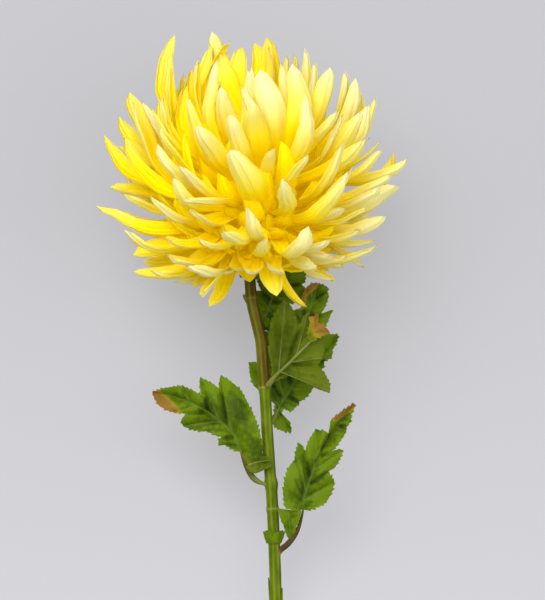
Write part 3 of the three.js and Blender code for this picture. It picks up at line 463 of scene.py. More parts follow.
def petal_seat(tip, width, rise, sway, roll, crook=0, **more):
    """Control points, side direction, width and roll of a petal with its tip at the given point."""
    chord = tip.normalized()
    middle = tip * 0.5
    inward = BLOOM_AXIS * EYE_HEIGHT - middle
    inward = (inward - chord * inward.dot(chord)).normalized()
    side = inward.cross(chord)
    belly = middle - inward * rise + side * sway
    root = belly.normalized() * ROOT_RADIUS
    left = Vector((-tip.y, tip.x, 0)).normalized()
    first = root.lerp(belly, FIRST_SHARE) - left * crook
    # the cubic curve passes through the belly half way
    second = (belly * 8 - root - tip - first * 3) / 3
    seat = {"root": root, "first": first, "second": second, "tip": tip, "side": side,
            "width": width, "roll": roll, "hook": 0.0, "twist": 0.0, "blunt": 0.5, "tint": 0.5}
    return seat | more


def listed_seats():
    """Seats of the petals that are listed one by one."""
    seats = []
    for i, (x, y, layer, width, rise, sway, *more) in enumerate(FRONT_PETALS):
        crook, turn = (*more, 0, 0)[:2]
        tip = Vector((x, y, layer * ball_depth(x, y) + BALL_AT.z))
        sideways = abs(tip.x) / (abs(tip.x) + abs(tip.z) + 1)
        roll = turn + draw(900 + i, -ROLL_SPREAD, ROLL_SPREAD) - SIDE_ROLL * sideways ** 3
        seats.append(petal_seat(
            tip, width * WIDTH_SCALE, rise * RISE_SCALE + LEAST_RISE, sway, math.radians(roll), crook,
            hook=draw(1900 + i, 0.5, 4), twist=draw(2900 + i, -0.4, 0.4),
            blunt=draw(4900 + i, 0.4, 1.15), tint=draw(3900 + i, 0, 1)))
    return seats


def axis_direction(polar, turn):
    """The direction at an angle from the bloom's axis and a turn round it."""
    across = BLOOM_AXIS.cross(Vector((0, 0, 1))).normalized()
    forward = across.cross(BLOOM_AXIS)
    out = across * math.sin(turn) + forward * math.cos(turn)
    return BLOOM_AXIS * math.cos(polar) + out * math.sin(polar)


def spiral_seats(count, taken):
    """Seats a golden angle apart round the axis, where no listed petal stands."""
    lowest = math.cos(math.radians(LOWEST_ANGLE))
    seats = []
    for i in range(count):
        share = (i + 0.5) / count
        polar = math.acos(1 - share * (1 - lowest)) + math.radians(draw(i * 7 + 1, -3, 3))
        direction = axis_direction(polar, i * GOLDEN_ANGLE + draw(i * 7 + 2, -0.06, 0.06))
        if any(direction.angle(other) < math.radians(CLEAR_ANGLE) for other in taken):
            continue
        degrees = math.degrees(polar)
        shortening = 1 - SHORTENING * max(0, (degrees - SHORT_ANGLE) / (LOWEST_ANGLE - SHORT_ANGLE))
        resting = direction.angle(DOWN) < math.radians(RESTING_CONE)
        fullness = 1 if resting else draw(i * 7 + 3, 0.8, 1)
        reach = ball_reach(direction) * fullness * shortening
        arch = (ARCH - FLATTENING * max(0, degrees - FLAT_ANGLE)
                + CROWN_ARCH * max(0, 1 - degrees / CROWN_ANGLE))
        seats.append(petal_seat(
            direction * reach, draw(i * 7 + 5, 9.5, 12.5), arch * reach * draw(i * 7 + 4, 0.5, 1.4),
            draw(i * 7 + 6, -5, 5), math.radians(draw(i * 7 + 7, -45, 15)),
            hook=draw(i * 7 + 701, 1, 5), twist=draw(i * 7 + 702, -0.5, 0.5),
            blunt=draw(i * 7 + 704, 0.4, 1.1), tint=draw(i * 7 + 703, 0, 1)))
    return seats


def inner_seats(count):
    """Shorter petals that stand between the roots of the others."""
    seats = []
    for i in range(count):
        polar = math.acos(1 - (i + 0.5) / count * INNER_SPREAD)
        direction = axis_direction(polar, i * GOLDEN_ANGLE + 1)
        reach = ball_reach(direction) * draw(i * 5 + 5001, 0.36, 0.7)
        seats.append(petal_seat(
            direction * reach, draw(i * 5 + 5002, 9, 13), 0.22 * reach * draw(i * 5 + 5003, 0.6, 1.3),
            draw(i * 5 + 5004, -4, 4), math.radians(draw(i * 5 + 5005, -30, 30)),
            hook=2, tint=draw(i * 5 + 5006, 2, 3)))
    return seats


def store(mesh, key, values, kind="FLOAT"):
    """Keeps a value, or a vector, for each point of a mesh."""
    field = "value" if kind == "FLOAT" else "vector"
    mesh.attributes.new(key, kind, "POINT").data.foreach_set(field, np.ravel(values))


def seats_mesh(name, seats):
    """A mesh of one vertex a petal, which carries what the petal needs."""
    mesh = bpy.data.meshes.new(name)
    mesh.from_pydata(laid([seat["tip"] for seat in seats]).tolist(), [], [])
    for key in ("root", "first", "second", "tip"):
        store(mesh, key, laid([seat[key] for seat in seats]), "FLOAT_VECTOR")
    store(mesh, "side", np.array([TURN @ seat["side"] for seat in seats]), "FLOAT_VECTOR")
    for key, unit in (("width", MM), ("hook", MM), ("roll", 1), ("twist", 1), ("blunt", 1), ("tint", 1)):
        store(mesh, key, [seat[key] * unit for seat in seats])
    return mesh


# ---------------------------------------------------------------- petals by rule
# what changes along a petal, from root 0 to tip 1
PROFILES = {
    "bow": ((0, 0), (0.45, 0), (0.8, 1), (0.93, 0.72), (1, 0)),
    "slender": ((0, 0.5), (0.16, 0.62), (0.4, 0.94), (0.55, 1), (0.75, 0.8), (0.92, 0.38), (1, 0)),
    "blunt": ((0, 0.42), (0.16, 0.52), (0.4, 0.82), (0.65, 1), (0.84, 0.92), (0.95, 0.6), (1, 0)),
    "cup": ((0, 0.95), (0.3, 0.8), (0.6, 0.7), (0.85, 0.85), (1, 1)),
    "body": ((0, 0), (0.12, 1), (0.8, 0.8), (1, 0)),
}
TREE_INPUTS = (("Seats", "Geometry"), ("Rows", "Int"), ("Columns", "Int"), ("Thickness", "Float"),
               ("Cup", "Float"), ("Waves", "Float"), ("Softness", "Float"), ("Middle", "Vector"),
               ("Half sizes", "Vector"), ("Face", "Material"), ("Back", "Material"))


def petal_tree():
    """Geometry nodes that grow a cupped petal of two faces on every seat."""
    tree = bpy.data.node_groups.new("petals on seats", "GeometryNodeTree")
    for label, kind in TREE_INPUTS:
        tree.interface.new_socket(label, in_out="INPUT", socket_type=f"NodeSocket{kind}")
    tree.interface.new_socket("Petals", in_out="OUTPUT", socket_type="NodeSocketGeometry")
    put = partial(add, tree)
    given = put("NodeGroupInput").node.outputs

    # the blank: across runs from -1 to 1, along from root 0 to tip 1, with closer rows at the tip
    mesh = put("GeometryNodeMeshGrid", (2.0, 1.0, given["Columns"], given["Rows"]))
    place = put(SPLIT, (put("GeometryNodeInputPosition"),)).node.outputs
    rest = put(MATH, (0.5, place["Y"]), operation="SUBTRACT")
    eased = put(MATH, (rest, 1.25), operation="POWER")
    along = put(MATH, (1.0, eased), operation="SUBTRACT")
    for label, field in (("across", place["X"]), ("along", along)):
        mesh = put("GeometryNodeStoreNamedAttribute", {"Geometry": mesh, "Name": label, "Value": field},
                   data_type="FLOAT", domain="POINT")
    copies = put("GeometryNodeInstanceOnPoints", {"Points": given["Seats"], "Instance": mesh})
    petals = put("GeometryNodeRealizeInstances", (copies,))

    number = {label: put("GeometryNodeInputNamedAttribute", (label,), data_type="FLOAT")
              for label in ("across", "along", "width", "roll", "hook", "twist", "blunt")}
    point = {label: put("GeometryNodeInputNamedAttribute", (label,), data_type="FLOAT_VECTOR")
             for label in ("root", "first", "second", "tip", "side")}
    across, along = number["across"], number["along"]
    profile = {label: put(CURVE, {1: along}) for label in PROFILES}
    for label, curve in profile.items():
        bend_curve(curve.node, PROFILES[label])

    # the centre line, by halving the control polygon at the share along
    line = [point[label] for label in ("root", "first", "second", "tip")]
    while len(line) > 2:
        line = [put(MIX, {0: along, 4: a, 5: b}, out=1, data_type="VECTOR") for a, b in zip(line, line[1:])]
    centre = put(MIX, {0: along, 4: line[0], 5: line[1]}, out=1, data_type="VECTOR")
    chord = put(VECTOR, (line[1], line[0]), operation="SUBTRACT")
    tangent = put(VECTOR, (chord,), operation="NORMALIZE")
    raised = put(VECTOR, (tangent, point["side"]), operation="CROSS_PRODUCT")
    upright = put(VECTOR, (raised,), operation="NORMALIZE")

    # the back bows out before the tip, which then hooks in
    bowed = put(MATH, (profile["bow"], number["hook"]), operation="MULTIPLY")
    bowed = put(VECTOR, {0: upright, 3: bowed}, operation="SCALE")
    centre = put(VECTOR, (centre, bowed), operation="SUBTRACT")

    # the section: an arc of the cup's angle, as wide as the outline says
    outline = put(MIX, {0: number["blunt"], 2: profile["slender"], 3: profile["blunt"]})
    half = put(MATH, (outline, number["width"]), operation="MULTIPLY")
    angle = put(MATH, (profile["cup"], given["Cup"]), operation="MULTIPLY")
    sine = put(MATH, (angle,), operation="SINE")
    double = put(MATH, (sine, 2.0), operation="MULTIPLY")
    radius = put(MATH, (half, double), operation="DIVIDE")
    turn = put(MATH, (along, number["twist"], number["roll"]), operation="MULTIPLY_ADD")
    inner = put(TURN_VECTOR, {"Vector": upright, "Axis": tangent, "Angle": turn}, rotation_type="AXIS_ANGLE")
    swing = put(MATH, (across, angle), operation="MULTIPLY")
    spoke = put(TURN_VECTOR, {"Vector": inner, "Axis": tangent, "Angle": swing}, rotation_type="AXIS_ANGLE")
    hub = put(VECTOR, {0: inner, 3: radius}, operation="SCALE")
    hub = put(VECTOR, (centre, hub), operation="ADD")

    # no petal is even: each is waved by noise with waves of about 14 mm
    still = put(VECTOR, {0: spoke, 3: radius}, operation="SCALE")
    still = put(VECTOR, (hub, still), operation="SUBTRACT")
    unrest = put(NOISE, {"Vector": still, "Scale": 70.0, "Detail": 1.0}, out="Color")
    unrest = put(VECTOR, (unrest, (-0.5, -0.5, -0.5)), operation="ADD")
    strength = put(MATH, (along, given["Waves"]), operation="MULTIPLY")
    unrest = put(VECTOR, {0: unrest, 3: strength}, operation="SCALE")
    hub = put(VECTOR, (hub, unrest), operation="ADD")

    # thick along the middle, thin at the edges, closed at root and tip
    thin = put(MATH, (across, across, -1.0), operation="MULTIPLY_ADD")
    thick = put(MATH, (thin, profile["body"]), operation="MULTIPLY")
    thick = put(MATH, (thick, given["Thickness"]), operation="MULTIPLY")

    joined = put("GeometryNodeJoinGeometry")
    for label, half_side in (("Face", 0.5), ("Back", -0.5)):
        depth = put(MATH, (thick, half_side, radius), operation="MULTIPLY_ADD")
        depth = put(MATH, (depth, -1.0), operation="MULTIPLY")
        arm = put(VECTOR, {0: spoke, 3: depth}, operation="SCALE")
        spot = put(VECTOR, (hub, arm), operation="ADD")
        # a petal that would pass through the surface bends along it instead
        parts = put(SPLIT, (spot,)).node.outputs
        above = put(MATH, (parts["Z"], given["Softness"]), operation="MAXIMUM")
        below = put(MATH, (parts["Z"], above), operation="SUBTRACT")
        ratio = put(MATH, (below, given["Softness"]), operation="DIVIDE")
        fade = put(MATH, (ratio,), operation="EXPONENT")
        lifted = put(MATH, (above, fade), operation="MULTIPLY")
        spot = put(COMBINE, (parts["X"], parts["Y"], lifted))
        sheet = put("GeometryNodeSetPosition", {"Geometry": petals, "Position": spot})
        if label == "Face":
            sheet = put("GeometryNodeFlipFaces", (sheet,))
        sheet = put("GeometryNodeSetMaterial", {"Geometry": sheet, "Material": given[label]})
        fill(joined.node, (sheet,))

    closed = put("GeometryNodeMergeByDistance", {"Geometry": joined, "Distance": 2e-6})
    smooth = put("GeometryNodeSetShadeSmooth", {"Geometry": closed, "Shade Smooth": True})
    sharp = put(MATH, (put("GeometryNodeInputMeshEdgeAngle"), math.radians(80)), operation="GREATER_THAN")
    grown = put("GeometryNodeSetShadeSmooth",
                {"Geometry": smooth, "Selection": sharp, "Shade Smooth": False}, domain="EDGE")
    # how far out in the ball each point stands, 0 at the middle and 1 at its skin; the petal tissue paints
    # its golden shade and glow by it
    spot = put("GeometryNodeInputPosition")
    from_middle = put(VECTOR, (spot, given["Middle"]), operation="SUBTRACT")
    from_middle = put(VECTOR, (from_middle, given["Half sizes"]), operation="DIVIDE")
    depth = put(VECTOR, (from_middle,), out="Value", operation="LENGTH")
    grown = put("GeometryNodeStoreNamedAttribute", {"Geometry": grown, "Name": "outness", "Value": depth},
                data_type="FLOAT", domain="POINT")
    half_across = put(MATH, (across, 0.5, 0.5), operation="MULTIPLY_ADD")
    place = put(COMBINE, (half_across, along))
    grown = put("GeometryNodeStoreNamedAttribute", {"Geometry": grown, "Name": "UVMap", "Value": place},
                data_type="FLOAT2", domain="CORNER")
    fill(tree.nodes.new("NodeGroupOutput"), {"Petals": grown})
    return tree


def make_heart(material):
    """The cushion that the petals are rooted in."""
    form = bmesh.new()
    bmesh.ops.create_icosphere(form, subdivisions=3, radius=(ROOT_RADIUS + 1) * MM)
    bmesh.ops.translate(form, verts=form.verts, vec=HEART)
    mesh = bpy.data.meshes.new("heart")
    form.to_mesh(mesh)
    form.free()
    mesh.shade_smooth()
    mesh.materials.append(material)
    return new_object("heart", mesh)


def grow_petals(name, tree, seats, settings):
    """Grows petals on the seats and returns them as a plain mesh object."""
    piece = new_object(name, seats_mesh(name, seats))
    modifier = piece.modifiers.new("petals", "NODES")
    modifier.node_group = tree
    for item in tree.interface.items_tree:
        if item.in_out == "INPUT" and item.name in settings:
            modifier[item.identifier] = settings[item.name]
    return plain_copy(piece, name)


# ---------------------------------------------------------------- materials
def petal_tissue(name, places, colours, edge_colour, edge_share, streak_share, depth):
    """Petal tissue: soft and waxy, with a painted glow, and with fine veins that run from root to tip."""
    material, put, shader = new_material(name)
    place = put(SPLIT, (put("ShaderNodeUVMap", uv_map="UVMap"),)).node.outputs
    across, along = place["X"], place["Y"]
    tint, outness = (put(ATTRIBUTE, out="Fac", attribute_name=label) for label in ("tint", "outness"))
    # veins about half a millimetre apart on a petal 11 mm wide
    wide = put(MATH, (across, 22.0), operation="MULTIPLY")
    long = put(MATH, (along, 1.6), operation="MULTIPLY")
    own = put(MATH, (tint, 60.0), operation="MULTIPLY")
    veins = put(NOISE, {"Vector": put(COMBINE, (wide, long, own)), "Scale": 1.0, "Detail": 2.0})
    # the change from gold to cream starts further up on some petals, and is ragged along the veins
    shifted = put(MATH, (tint, -0.2, along), operation="MULTIPLY_ADD")
    ragged = put(MATH, (veins, streak_share, shifted), operation="MULTIPLY_ADD")
    ramp = put(RAMP, (ragged,))
    set_ramp(ramp.node, [spot - 0.1 + streak_share / 2 for spot in places], colours)
    # the edges have a colour of their own
    out = put(MATH, (across, -0.5), operation="ADD")
    out = put(MATH, (out,), operation="ABSOLUTE")
    rim = put(RANGE, (out, 0.3, 0.5, 0.0, edge_share), interpolation_type="SMOOTHSTEP")
    colour = put(MIX, {0: rim, 6: ramp, 7: linear(edge_colour)}, out=2, data_type="RGBA")
    # painted shade: deep between the others a petal is painted golden, standing in for the shade and the
    # yellow light bounced between the petals
    deep = put(RANGE, (outness, *depth, 1.0, 0.0), interpolation_type="SMOOTHSTEP")
    colour = put(MIX, {0: deep, 6: colour, 7: linear("#EED400")}, out=2, data_type="RGBA")
    # painted glow: every petal gives off a little light of its own, more deep in the ball, standing in for
    # the light that comes through the petals
    painted_glow = put(MATH, (deep, 0.06, 0.06), operation="MULTIPLY_ADD")
    painted_glow = put(MIX, {0: painted_glow, 6: linear("#000000"), 7: linear("#FFDC00")}, out=2, data_type="RGBA")
    # folds about 3 mm apart run beside the veins
    fold = put(MATH, (veins, 2.0), operation="MULTIPLY")
    fold = put(MATH, (across, 22.0, fold), operation="MULTIPLY_ADD")
    fold = put(MATH, (fold,), operation="SINE")
    height = put(MATH, (veins, 2.0, fold), operation="MULTIPLY_ADD")
    relief = put(BUMP, {"Height": height, "Strength": 0.6, "Distance": 0.3 * MM})
    fill(shader, {"Base Color": colour, "Emission Color": painted_glow, "Emission Strength": 1.0, "Normal": relief,
                  "Roughness": 0.55, "Specular IOR Level": 0.05, "Subsurface Weight": 0.2,
                  "Subsurface Radius": (1.0, 0.6, 0.1), "Subsurface Scale": 3 * MM})
    return material


def leaf_tissue(name, greens, rim_colour, vein_colour, vein_share, dried_colours, roughness):
    """Leaf tissue: deep green, lighter at the rim and the veins, browned where it has dried."""
    material, put, shader = new_material(name)
    place = put("ShaderNodeTexCoord", out="Object")
    # blotches of about 10 mm and of about 2 mm, and a fine net of cells of about 0.8 mm
    blotch = put(NOISE, {"Vector": place, "Scale": 100.0, "Detail": 2.0})
    fleck = put(NOISE, {"Vector": place, "Scale": 480.0, "Detail": 3.0})
    mottle = put(MATH, (fleck, 0.55, blotch), operation="MULTIPLY_ADD")
    mottle = put(MATH, (mottle, 0.85, 0.22), operation="MULTIPLY_ADD")
    net = put("ShaderNodeTexVoronoi", {"Vector": place, "Scale": 900.0}, feature="DISTANCE_TO_EDGE")
    # the green is deepest at the rib; painted shade darkens it in the creases between the lobes, and it is
    # darker along the listed dark bands
    rim, darkening, vein, dried = (put(ATTRIBUTE, out="Fac", attribute_name=label)
                                for label in ("rim", "darkening", "vein", "dried"))
    shade = put(MATH, (rim, 0.25, mottle), operation="MULTIPLY_ADD")
    shade = put(MATH, (darkening, -0.4, shade), operation="MULTIPLY_ADD")
    green = put(RAMP, (shade,))
    set_ramp(green.node, (0.45, 0.7, 0.9, 1.0), greens)
    rim = put(MATH, (rim, blotch), operation="MULTIPLY")
    rim = put(RANGE, (rim, 0.35, 0.65, 0.0, 0.6), interpolation_type="SMOOTHSTEP")
    colour = put(MIX, {0: rim, 6: green, 7: linear(rim_colour)}, out=2, data_type="RGBA")
    veined = put(MATH, (vein, vein_share), operation="MULTIPLY")
    colour = put(MIX, {0: veined, 6: colour, 7: linear(vein_colour)}, out=2, data_type="RGBA")
    # dried tissue goes from yellow green through ochre to brown, with a ragged border
    ragged = put(MATH, (mottle, dried), operation="MULTIPLY")
    ragged = put(MATH, (ragged, 1.35), operation="MULTIPLY")
    burnt = put(RAMP, (ragged,))
    set_ramp(burnt.node, (0.2, 0.5, 0.85), dried_colours)
    share = put(RANGE, (ragged, 0.05, 0.5), interpolation_type="SMOOTHSTEP")
    colour = put(MIX, {0: share, 6: colour, 7: burnt}, out=2, data_type="RGBA")
    relief = put(BUMP, {"Height": net, "Strength": 0.4, "Distance": 0.3 * MM})
    fill(shader, {"Base Color": colour, "Normal": relief, "Roughness": roughness,
                  "Specular IOR Level": 0.05, "Subsurface Weight": 0.08,
                  "Subsurface Radius": (0.4, 1.0, 0.1), "Subsurface Scale": 1 * MM})
    return material


def stem_skin(name):
    """Ribbed green stem skin, browned on one side towards the bloom, with a pale ring at each joint."""
    material, put, shader = new_material(name)
    place = put("ShaderNodeTexCoord", out="Object")
    # patches about 3 mm wide and 12 mm long, on ribs that are paler than the grooves
    long = put("ShaderNodeMapping", {"Vector": place, "Scale": (300.0, 80.0, 300.0)})
    patches = put(NOISE, {"Vector": long, "Scale": 1.0, "Detail": 2.0})
    ribs, browned, ring = (put(ATTRIBUTE, out="Fac", attribute_name=label)
                           for label in ("vein", "dried", "rim"))
    streaks = put(MATH, (ribs, 0.3, patches), operation="MULTIPLY_ADD")
    green, brown = put(RAMP, (streaks,)), put(RAMP, (streaks,))
    set_ramp(green.node, (0.35, 0.6, 0.85), ("#435301", "#526204", "#667418"))
    set_ramp(brown.node, (0.35, 0.6, 0.85), ("#402C06", "#523E0A", "#5E5018"))
    colour = put(MIX, {0: browned, 6: green, 7: brown}, out=2, data_type="RGBA")
    ring = put(MATH, (ring, 0.6), operation="MULTIPLY")
    colour = put(MIX, {0: ring, 6: colour, 7: linear("#848744")}, out=2, data_type="RGBA")
    relief = put(BUMP, {"Height": patches, "Strength": 0.3, "Distance": 0.3 * MM})
    fill(shader, {"Base Color": colour, "Normal": relief, "Roughness": 0.5, "Specular IOR Level": 0.06,
                  "Subsurface Weight": 0.05, "Subsurface Scale": 1 * MM})
    return material


def stem_pith(name):
    """Pith of the cut end: pale, dry and full of pores."""
    material, put, shader = new_material(name)
    place = put("ShaderNodeTexCoord", out="Object")
    pores = put("ShaderNodeTexVoronoi", {"Vector": place, "Scale": 2500.0})
    colour = put(MIX, {0: pores, 6: linear("#A9AC6E"), 7: linear("#7C8442")}, out=2, data_type="RGBA")
    fill(shader, {"Base Color": colour, "Roughness": 0.9, "Specular IOR Level": 0.1})
    return material


# ---------------------------------------------------------------- stem and leaves
class Shell:
    """Points, faces and per-point values of a mesh under construction."""

    def __init__(self):
        self.points, self.faces, self.slots = [], [], []
        self.values = {"vein": [], "dried": [], "rim": [], "darkening": []}
        self.count = 0

    def add_points(self, points, **values):
        start = self.count
        points = np.asarray(points, dtype=float).reshape(-1, 3)
        self.points.append(points)
        self.count += len(points)
        for key, stored in self.values.items():
            stored.append(np.broadcast_to(np.ravel(values.get(key, 0.0)), len(points)).astype(float))
        return start

    def add_faces(self, faces, slot=0):
        self.faces += faces
        self.slots += [slot] * len(faces)

    def finished(self, name, materials, sharp=50):
        """The piece with all its points and faces, smooth but for edges of more degrees than sharp."""
        mesh = bpy.data.meshes.new(name)
        mesh.from_pydata(laid(np.vstack(self.points)).tolist(), [], self.faces)
        mesh.polygons.foreach_set("material_index", self.slots)
        for key, stored in self.values.items():
            store(mesh, key, np.concatenate(stored))
        mesh.shade_smooth()
        mesh.set_sharp_from_angle(angle=math.radians(sharp))
        for material in materials:
            mesh.materials.append(material)
        return new_object(name, mesh)


def ring_faces(start, ring, sides):
    """The four-sided faces between a ring of points and the next."""
    corners = [(start + ring * sides + k, start + ring * sides + (k + 1) % sides) for k in range(sides)]
    return [(a, b, b + sides, a + sides) for a, b in corners]


def add_tube(shell, line, radii, sides, slot=0, ribs=0, rib_depth=0.0, cap_slot=None, **values):
    """A round or ribbed tube along a line of points, closed at both ends."""
    line = np.asarray(line, dtype=float)
    along = np.gradient(line, axis=0)
    along /= np.linalg.norm(along, axis=1)[:, None]
    across = np.cross((0, 0, 1), along)
    across /= np.linalg.norm(across, axis=1)[:, None]
    up = np.cross(along, across)
    turn = np.arange(sides) * 2 * math.pi / sides
    grooves = 1 - rib_depth * (0.5 - 0.5 * np.cos(ribs * turn))
    out = across[:, None] * np.cos(turn)[None, :, None] + up[:, None] * np.sin(turn)[None, :, None]
    rings = line[:, None] + out * (np.asarray(radii)[:, None] * grooves)[..., None]
    start = shell.add_points(rings, **values)
    for ring in range(len(line) - 1):
        shell.add_faces(ring_faces(start, ring, sides), slot)
    last = start + (len(line) - 1) * sides
    shell.add_faces([tuple(reversed(range(start, start + sides)))], slot)
    shell.add_faces([tuple(range(last, last + sides))], slot if cap_slot is None else cap_slot)


def toothed(edge, rib, depth, pitch):
    """The edge's rows (share, x, y) with uneven teeth that lean forward between the given points."""
    rows = []
    for n, ((s0, x0, y0), (s1, x1, y1)) in enumerate(zip(edge, edge[1:])):
        length = math.hypot(x1 - x0, y1 - y0)
        teeth = max(1, round(length / pitch))
        foot = curve_through(rib, [(s0 + s1) / 2])[0]
        normal = np.array((y1 - y0, x0 - x1)) / length
        if normal @ ((x0 + x1) / 2 - foot[0], (y0 + y1) / 2 - foot[1]) < 0:
            normal = -normal
        for i in range(teeth):
            size = depth * draw(n * 9 + i, 0.3, 1.3) * min(1, length / pitch)
            for way, height in TOOTH:
                share = (i + way) / teeth
                tooth = size * height + TOOTH_BOW * length * math.sin(math.pi * share)
                rows.append((s0 + (s1 - s0) * share, x0 + (x1 - x0) * share + normal[0] * tooth,
                             y0 + (y1 - y0) * share + normal[1] * tooth))
    rows.append(edge[-1])
    return np.array(rows)


def tips_and_notches(edge, rib):
    """The rows of an edge that reach further out than their neighbours, and those that cut in."""
    feet = curve_through(rib, [row[0] for row in edge])
    reach = [math.hypot(x - foot[0], y - foot[1]) for (_, x, y), foot in zip(edge, feet)]
    rows = list(zip(edge[1:], reach, reach[1:], reach[2:] + [0]))
    tips = [row for row, before, here, after in rows if here >= before and here > after and here > 4]
    notches = [row for row, before, here, after in rows[:-1] if here < before and here <= after and here > 2]
    return tips, notches


def distance_to(points, a, b):
    """Distance in the flat from points to a stretch a to b, and the share of it that is nearest."""
    step = np.subtract(b, a)
    share = np.clip(((points - a) @ step) / (step @ step), 0, 1)
    return np.linalg.norm(points - (a + share[..., None] * step), axis=-1), share


def veins_on(flat, rib, tips, width):
    """How much of a vein each point lies on, and how far it is from the nearest one."""
    spine = curve_through(rib, np.linspace(0, 1, 40))[:, :2]
    vein = np.zeros(flat.shape[:2])
    away = np.full(flat.shape[:2], 99.0)
    # the middle vein thins towards the tip, and the side veins start a little thinner
    for i, (here, after) in enumerate(zip(spine, spine[1:])):
        distance, _ = distance_to(flat, here, after)
        wide = width * (1 - 0.6 * i / len(spine))
        vein = np.maximum(vein, 1 - smoothstep(distance, wide * 0.4, wide * 1.1))
        away = np.minimum(away, distance)
    for start, x, y in tips:
        foot = curve_through(rib, [max(0, start - VEIN_LEAD)])[0, :2]
        distance, share = distance_to(flat, foot, (x, y))
        wide = width * (0.62 - 0.42 * share)
        vein = np.maximum(vein, (1 - smoothstep(distance, wide * 0.3, wide)) * (1 - 0.5 * share))
        away = np.minimum(away, distance)
    return vein, away


def pleats_on(flat, edge, rib, notches, crease_width):
    """How deep in a pleat each point lies, which also darkens the green as painted shade: they fan out from
    the rib, the deepest to the notches.
    """
    darkening = np.zeros(flat.shape[:2])
    for i, (start, x, y) in enumerate(edge[1:-1]):
        deep = (start, x, y) in notches
        reach, depth = (crease_width, 1) if deep else (FINE_PLEAT, draw(i + 40 * len(edge), 0.1, 0.45))
        distance, share = distance_to(flat, curve_through(rib, [start])[0, :2], (x, y))
        pleat = (1 - smoothstep(distance, 0.1, reach)) * smoothstep(share, 0, 0.2)
        darkening = np.maximum(darkening, depth * pleat)
    return darkening


def add_sheets(shell, top, low, marks, top_slot):
    """Two sheets of points one over the other, and the walls that close their rim."""
    first = shell.add_points(top, **marks)
    under = shell.add_points(low, **marks) - first
    rows, columns = top.shape[:2]
    corner, onward, outward = top[rows // 2, 0], top[rows // 2 + 1, 0], top[rows // 2, -1]
    turned = np.cross(onward - corner, outward - corner)[2] < 0
    sheet = []
    for i in (first + row * columns + k for row in range(rows - 1) for k in range(columns - 1)):
        quad = (i, i + columns, i + columns + 1, i + 1)
        sheet.append(quad[::-1] if turned else quad)
    sides = {side: None for quad in sheet for side in zip(quad, quad[1:] + quad[:1])}
    walls = [(q, p, p + under, q + under) for p, q in sides if (q, p) not in sides]
    shell.add_faces(sheet + walls, top_slot)
    shell.add_faces([tuple(p + under for p in reversed(quad)) for quad in sheet], 1 - top_slot)


def add_half_blade(shell, blade, edge, leaf, size):
    """Half a blade as a thin shell: rows run from the rib to the edge, veins stand out behind."""
    rib = blade["rib"]
    large = len(edge) > SMALL_EDGE
    tips, notches = tips_and_notches(edge, rib)
    rows = toothed(edge, rib, size.tooth_depth if large else SMALL_TOOTH, size.tooth_pitch)
    feet = curve_through(rib, rows[:, 0])
    edges = np.column_stack((rows[:, 1:], feet[:, 2]))
    grid = feet[:, None] + (edges - feet)[:, None] * BLADE_SHARES[None, :, None]
    flat = grid[..., :2]
    out = np.linalg.norm(flat - feet[:, None, :2], axis=-1)
    vein, away = veins_on(flat, rib, tips if large else (), size.vein_width * (1 if large else 0.5))
    # the pleats' depth, which the leaf tissue also uses for painted shade in the creases
    darkening = pleats_on(flat, edge, rib, notches, size.crease_width)
    upper = 1 if blade.get("face_up", leaf["face_up"]) else -1
    height = blade["fold"] * out + blade["curl"] * out ** 2
    if large:
        run = np.cumsum(np.linalg.norm(np.diff(edges[:, :2], axis=0, prepend=edges[:1, :2]), axis=1))
        wave = size.waving * np.sin(run / WAVE_STEP)[:, None] * BLADE_SHARES ** 2
        quilt = size.quilting * (1 - np.exp(-away / QUILT_REACH))
        height = height + (wave + (quilt - size.pleating * darkening) * upper)
    grid[..., 2] += height
    dried = np.zeros(out.shape)
    for x0, y0, x1, y1, reach in blade.get("dried", leaf["dried"]):
        distance, _ = distance_to(flat, (x0, y0), (x1, y1))
        dried = np.maximum(dried, 1.1 - distance / reach)
    # the listed dark bands darken the green further, by the same value
    for x0, y0, x1, y1, reach, depth in leaf.get("dark", ()):
        distance, _ = distance_to(flat, (x0, y0), (x1, y1))
        darkening = np.maximum(darkening, depth * (1 - smoothstep(distance, reach * 0.3, reach)))
    thick = size.leaf_thickness * (1 - 0.7 * BLADE_SHARES ** 6) / 2
    proud = vein * size.vein_relief
    marks = {"vein": vein, "dried": dried, "rim": np.broadcast_to(BLADE_SHARES, out.shape), "darkening": darkening}
    top = grid + (0, 0, 1) * (thick + (0 if upper > 0 else proud))[..., None]
    low = grid - (0, 0, 1) * (thick + (proud if upper > 0 else 0))[..., None]
    add_sheets(shell, top, low, marks, 0 if upper > 0 else 1)


def add_ruff(shell, start, end, radii, depth):
    """A frilled leafy collar that clasps the stem."""
    steps, sides = 9, 72
    share = np.linspace(0, 1, steps)
    line = np.array(start) + (np.array(end) - np.array(start)) * share[:, None]
    base = np.interp(share, np.linspace(0, 1, len(radii)), radii)
    turn = np.arange(sides) * 2 * math.pi / sides
    frill = depth * share[:, None] ** 1.5 * (np.sin(7 * turn) + 0.5 * np.sin(17 * turn + 1))[None]
    ring = np.stack((np.cos(turn), np.zeros(sides), np.sin(turn)), axis=1)
    rise = 0.5 * depth * share[:, None] ** 2 * np.cos(5 * turn + 2)[None]
    outer = line[:, None] + ring[None] * (base[:, None] + frill)[..., None]
    outer[..., 1] += rise
    inner = line[::-1, None] + ring[None] * (base[::-1, None] + frill[::-1] - 0.5 - share[:, None])[..., None]
    inner[..., 1] += rise[::-1]
    rim = np.concatenate((share, share[::-1]))[:, None] * np.ones(sides)
    first = shell.add_points(np.concatenate((outer, inner)), rim=rim)
    loop = 2 * steps * sides
    for row in range(2 * steps):
        faces = ring_faces(first, row, sides)
        shell.add_faces([tuple(first + (p - first) % loop for p in face[::-1]) for face in faces])


